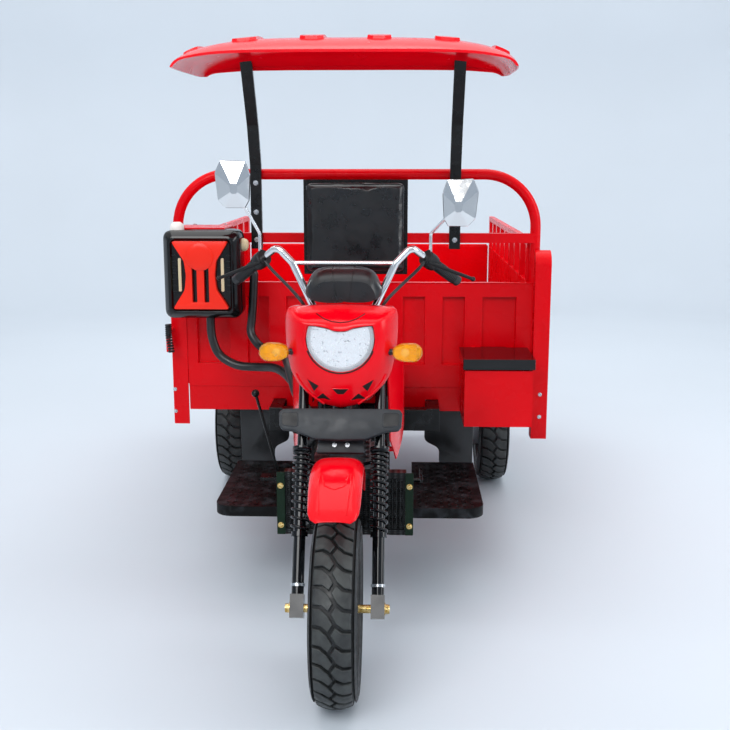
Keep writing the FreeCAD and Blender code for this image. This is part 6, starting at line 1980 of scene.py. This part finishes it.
class TRICYCLE_OT_stage(bpy.types.Operator):
    """Build the pale studio sweep, the soft lights and the camera"""

    bl_idname = "tricycle.stage"
    bl_label = "Studio"

    def execute(self, context):
        settings = context.scene.tricycle_stage
        scene = context.scene

        def dish(bm):
            flat = DISH_RADIUS - DISH_BEND
            profile = [(0.5, 0.0), (flat, 0.0)]
            for step in range(1, 13):
                turn = math.radians(90 * step / 12)
                profile.append((flat + DISH_BEND * math.sin(turn), DISH_BEND - DISH_BEND * math.cos(turn)))
            profile.append((DISH_RADIUS, DISH_RIM))
            loops = []
            for reach, z in profile:
                loops.append(
                    ring(bm, [(reach * math.cos(turn), reach * math.sin(turn), z) for turn in turns(96)])
                )
            skin(bm, loops, caps=(0,))

        floor = in_scene("studio_sweep", coated(mesh_from("studio_sweep", dish, 60), "floor"))
        floor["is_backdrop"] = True

        world = bpy.data.worlds.new("studio_air")
        scene.world = world
        world.use_nodes = True
        tree = world.node_tree
        way = add_node(tree, "ShaderNodeTexCoord").outputs["Generated"]
        rise = add_node(tree, "ShaderNodeSeparateXYZ", {0: way}).outputs["Z"]
        sky = between(tree, rise, srgb("#B4BCC4"), srgb("#F6F9FD"), 0.02, 0.55)
        background = tree.nodes["Background"]
        tree.links.new(sky, background.inputs["Color"])
        background.inputs["Strength"].default_value = settings.sky_power

        for name, place, target, size, share in SOFTBOXES:
            light = bpy.data.lights.new(name, "AREA")
            light.shape = "RECTANGLE"
            light.size, light.size_y = size
            light.energy = settings.key_power * share
            made = in_scene(name, light)
            made.location = place
            made.rotation_euler = (Vector(target) - Vector(place)).to_track_quat("-Z", "Y").to_euler()

        data = bpy.data.cameras.new("camera")
        data.lens = settings.lens
        data.sensor_width = 36.0
        data.clip_end = 60.0
        camera = in_scene("camera", data)
        camera.location = (settings.camera_x, settings.camera_y, settings.camera_z)
        camera.rotation_euler = (math.radians(90) - settings.pitch, 0.0, settings.yaw)
        scene.camera = camera
        scene.view_settings.view_transform = "Standard"
        return {"FINISHED"}


class TRICYCLE_PT_panel(bpy.types.Panel):
    """Lists the tricycle's operators and settings"""

    bl_label = "Cargo tricycle"
    bl_idname = "TRICYCLE_PT_panel"
    bl_space_type = "VIEW_3D"
    bl_region_type = "UI"
    bl_category = "Tricycle"

    def draw(self, context):
        for operator in OPERATORS:
            self.layout.operator(operator.bl_idname)


SETTINGS = {
    "tricycle_paint": PaintSettings,
    "tricycle_tread": TreadSettings,
    "tricycle_seat": SeatSettings,
    "tricycle_trim": TrimSettings,
    "tricycle_stage": StageSettings,
}
OPERATORS = (
    TRICYCLE_OT_finishes,
    TRICYCLE_OT_wheels,
    TRICYCLE_OT_seat,
    TRICYCLE_OT_lamps,
    TRICYCLE_OT_front,
    TRICYCLE_OT_controls,
    TRICYCLE_OT_filter,
    TRICYCLE_OT_box,
    TRICYCLE_OT_boards,
    TRICYCLE_OT_edges,
    TRICYCLE_OT_stage,
)


def register():
    """Registers the settings, the operators and the panel."""
    for group in SETTINGS.values():
        bpy.utils.register_class(group)
    for name, group in SETTINGS.items():
        setattr(bpy.types.Scene, name, bpy.props.PointerProperty(type=group))
    for operator in OPERATORS:
        bpy.utils.register_class(operator)
    bpy.utils.register_class(TRICYCLE_PT_panel)


def unregister():
    """Takes away what register adds."""
    bpy.utils.unregister_class(TRICYCLE_PT_panel)
    for operator in reversed(OPERATORS):
        bpy.utils.unregister_class(operator)
    for name in SETTINGS:
        delattr(bpy.types.Scene, name)
    for group in reversed(SETTINGS.values()):
        bpy.utils.unregister_class(group)


def corners():
    """Low and high corners of all that is in the scene, as plain lists."""
    return [list(corner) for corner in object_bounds()]


def main():
    """Dresses the vehicle."""
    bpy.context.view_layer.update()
    register()
    bpy.ops.tricycle.finishes()
    bpy.ops.tricycle.wheels()
    bpy.ops.tricycle.seat()
    bpy.ops.tricycle.lamps()
    bpy.ops.tricycle.front()
    bpy.ops.tricycle.controls()
    bpy.ops.tricycle.filter()
    bpy.ops.tricycle.box()
    bpy.ops.tricycle.boards()
    bpy.ops.tricycle.edges()
    bpy.ops.tricycle.stage()


if __name__ == "__main__":
    main()
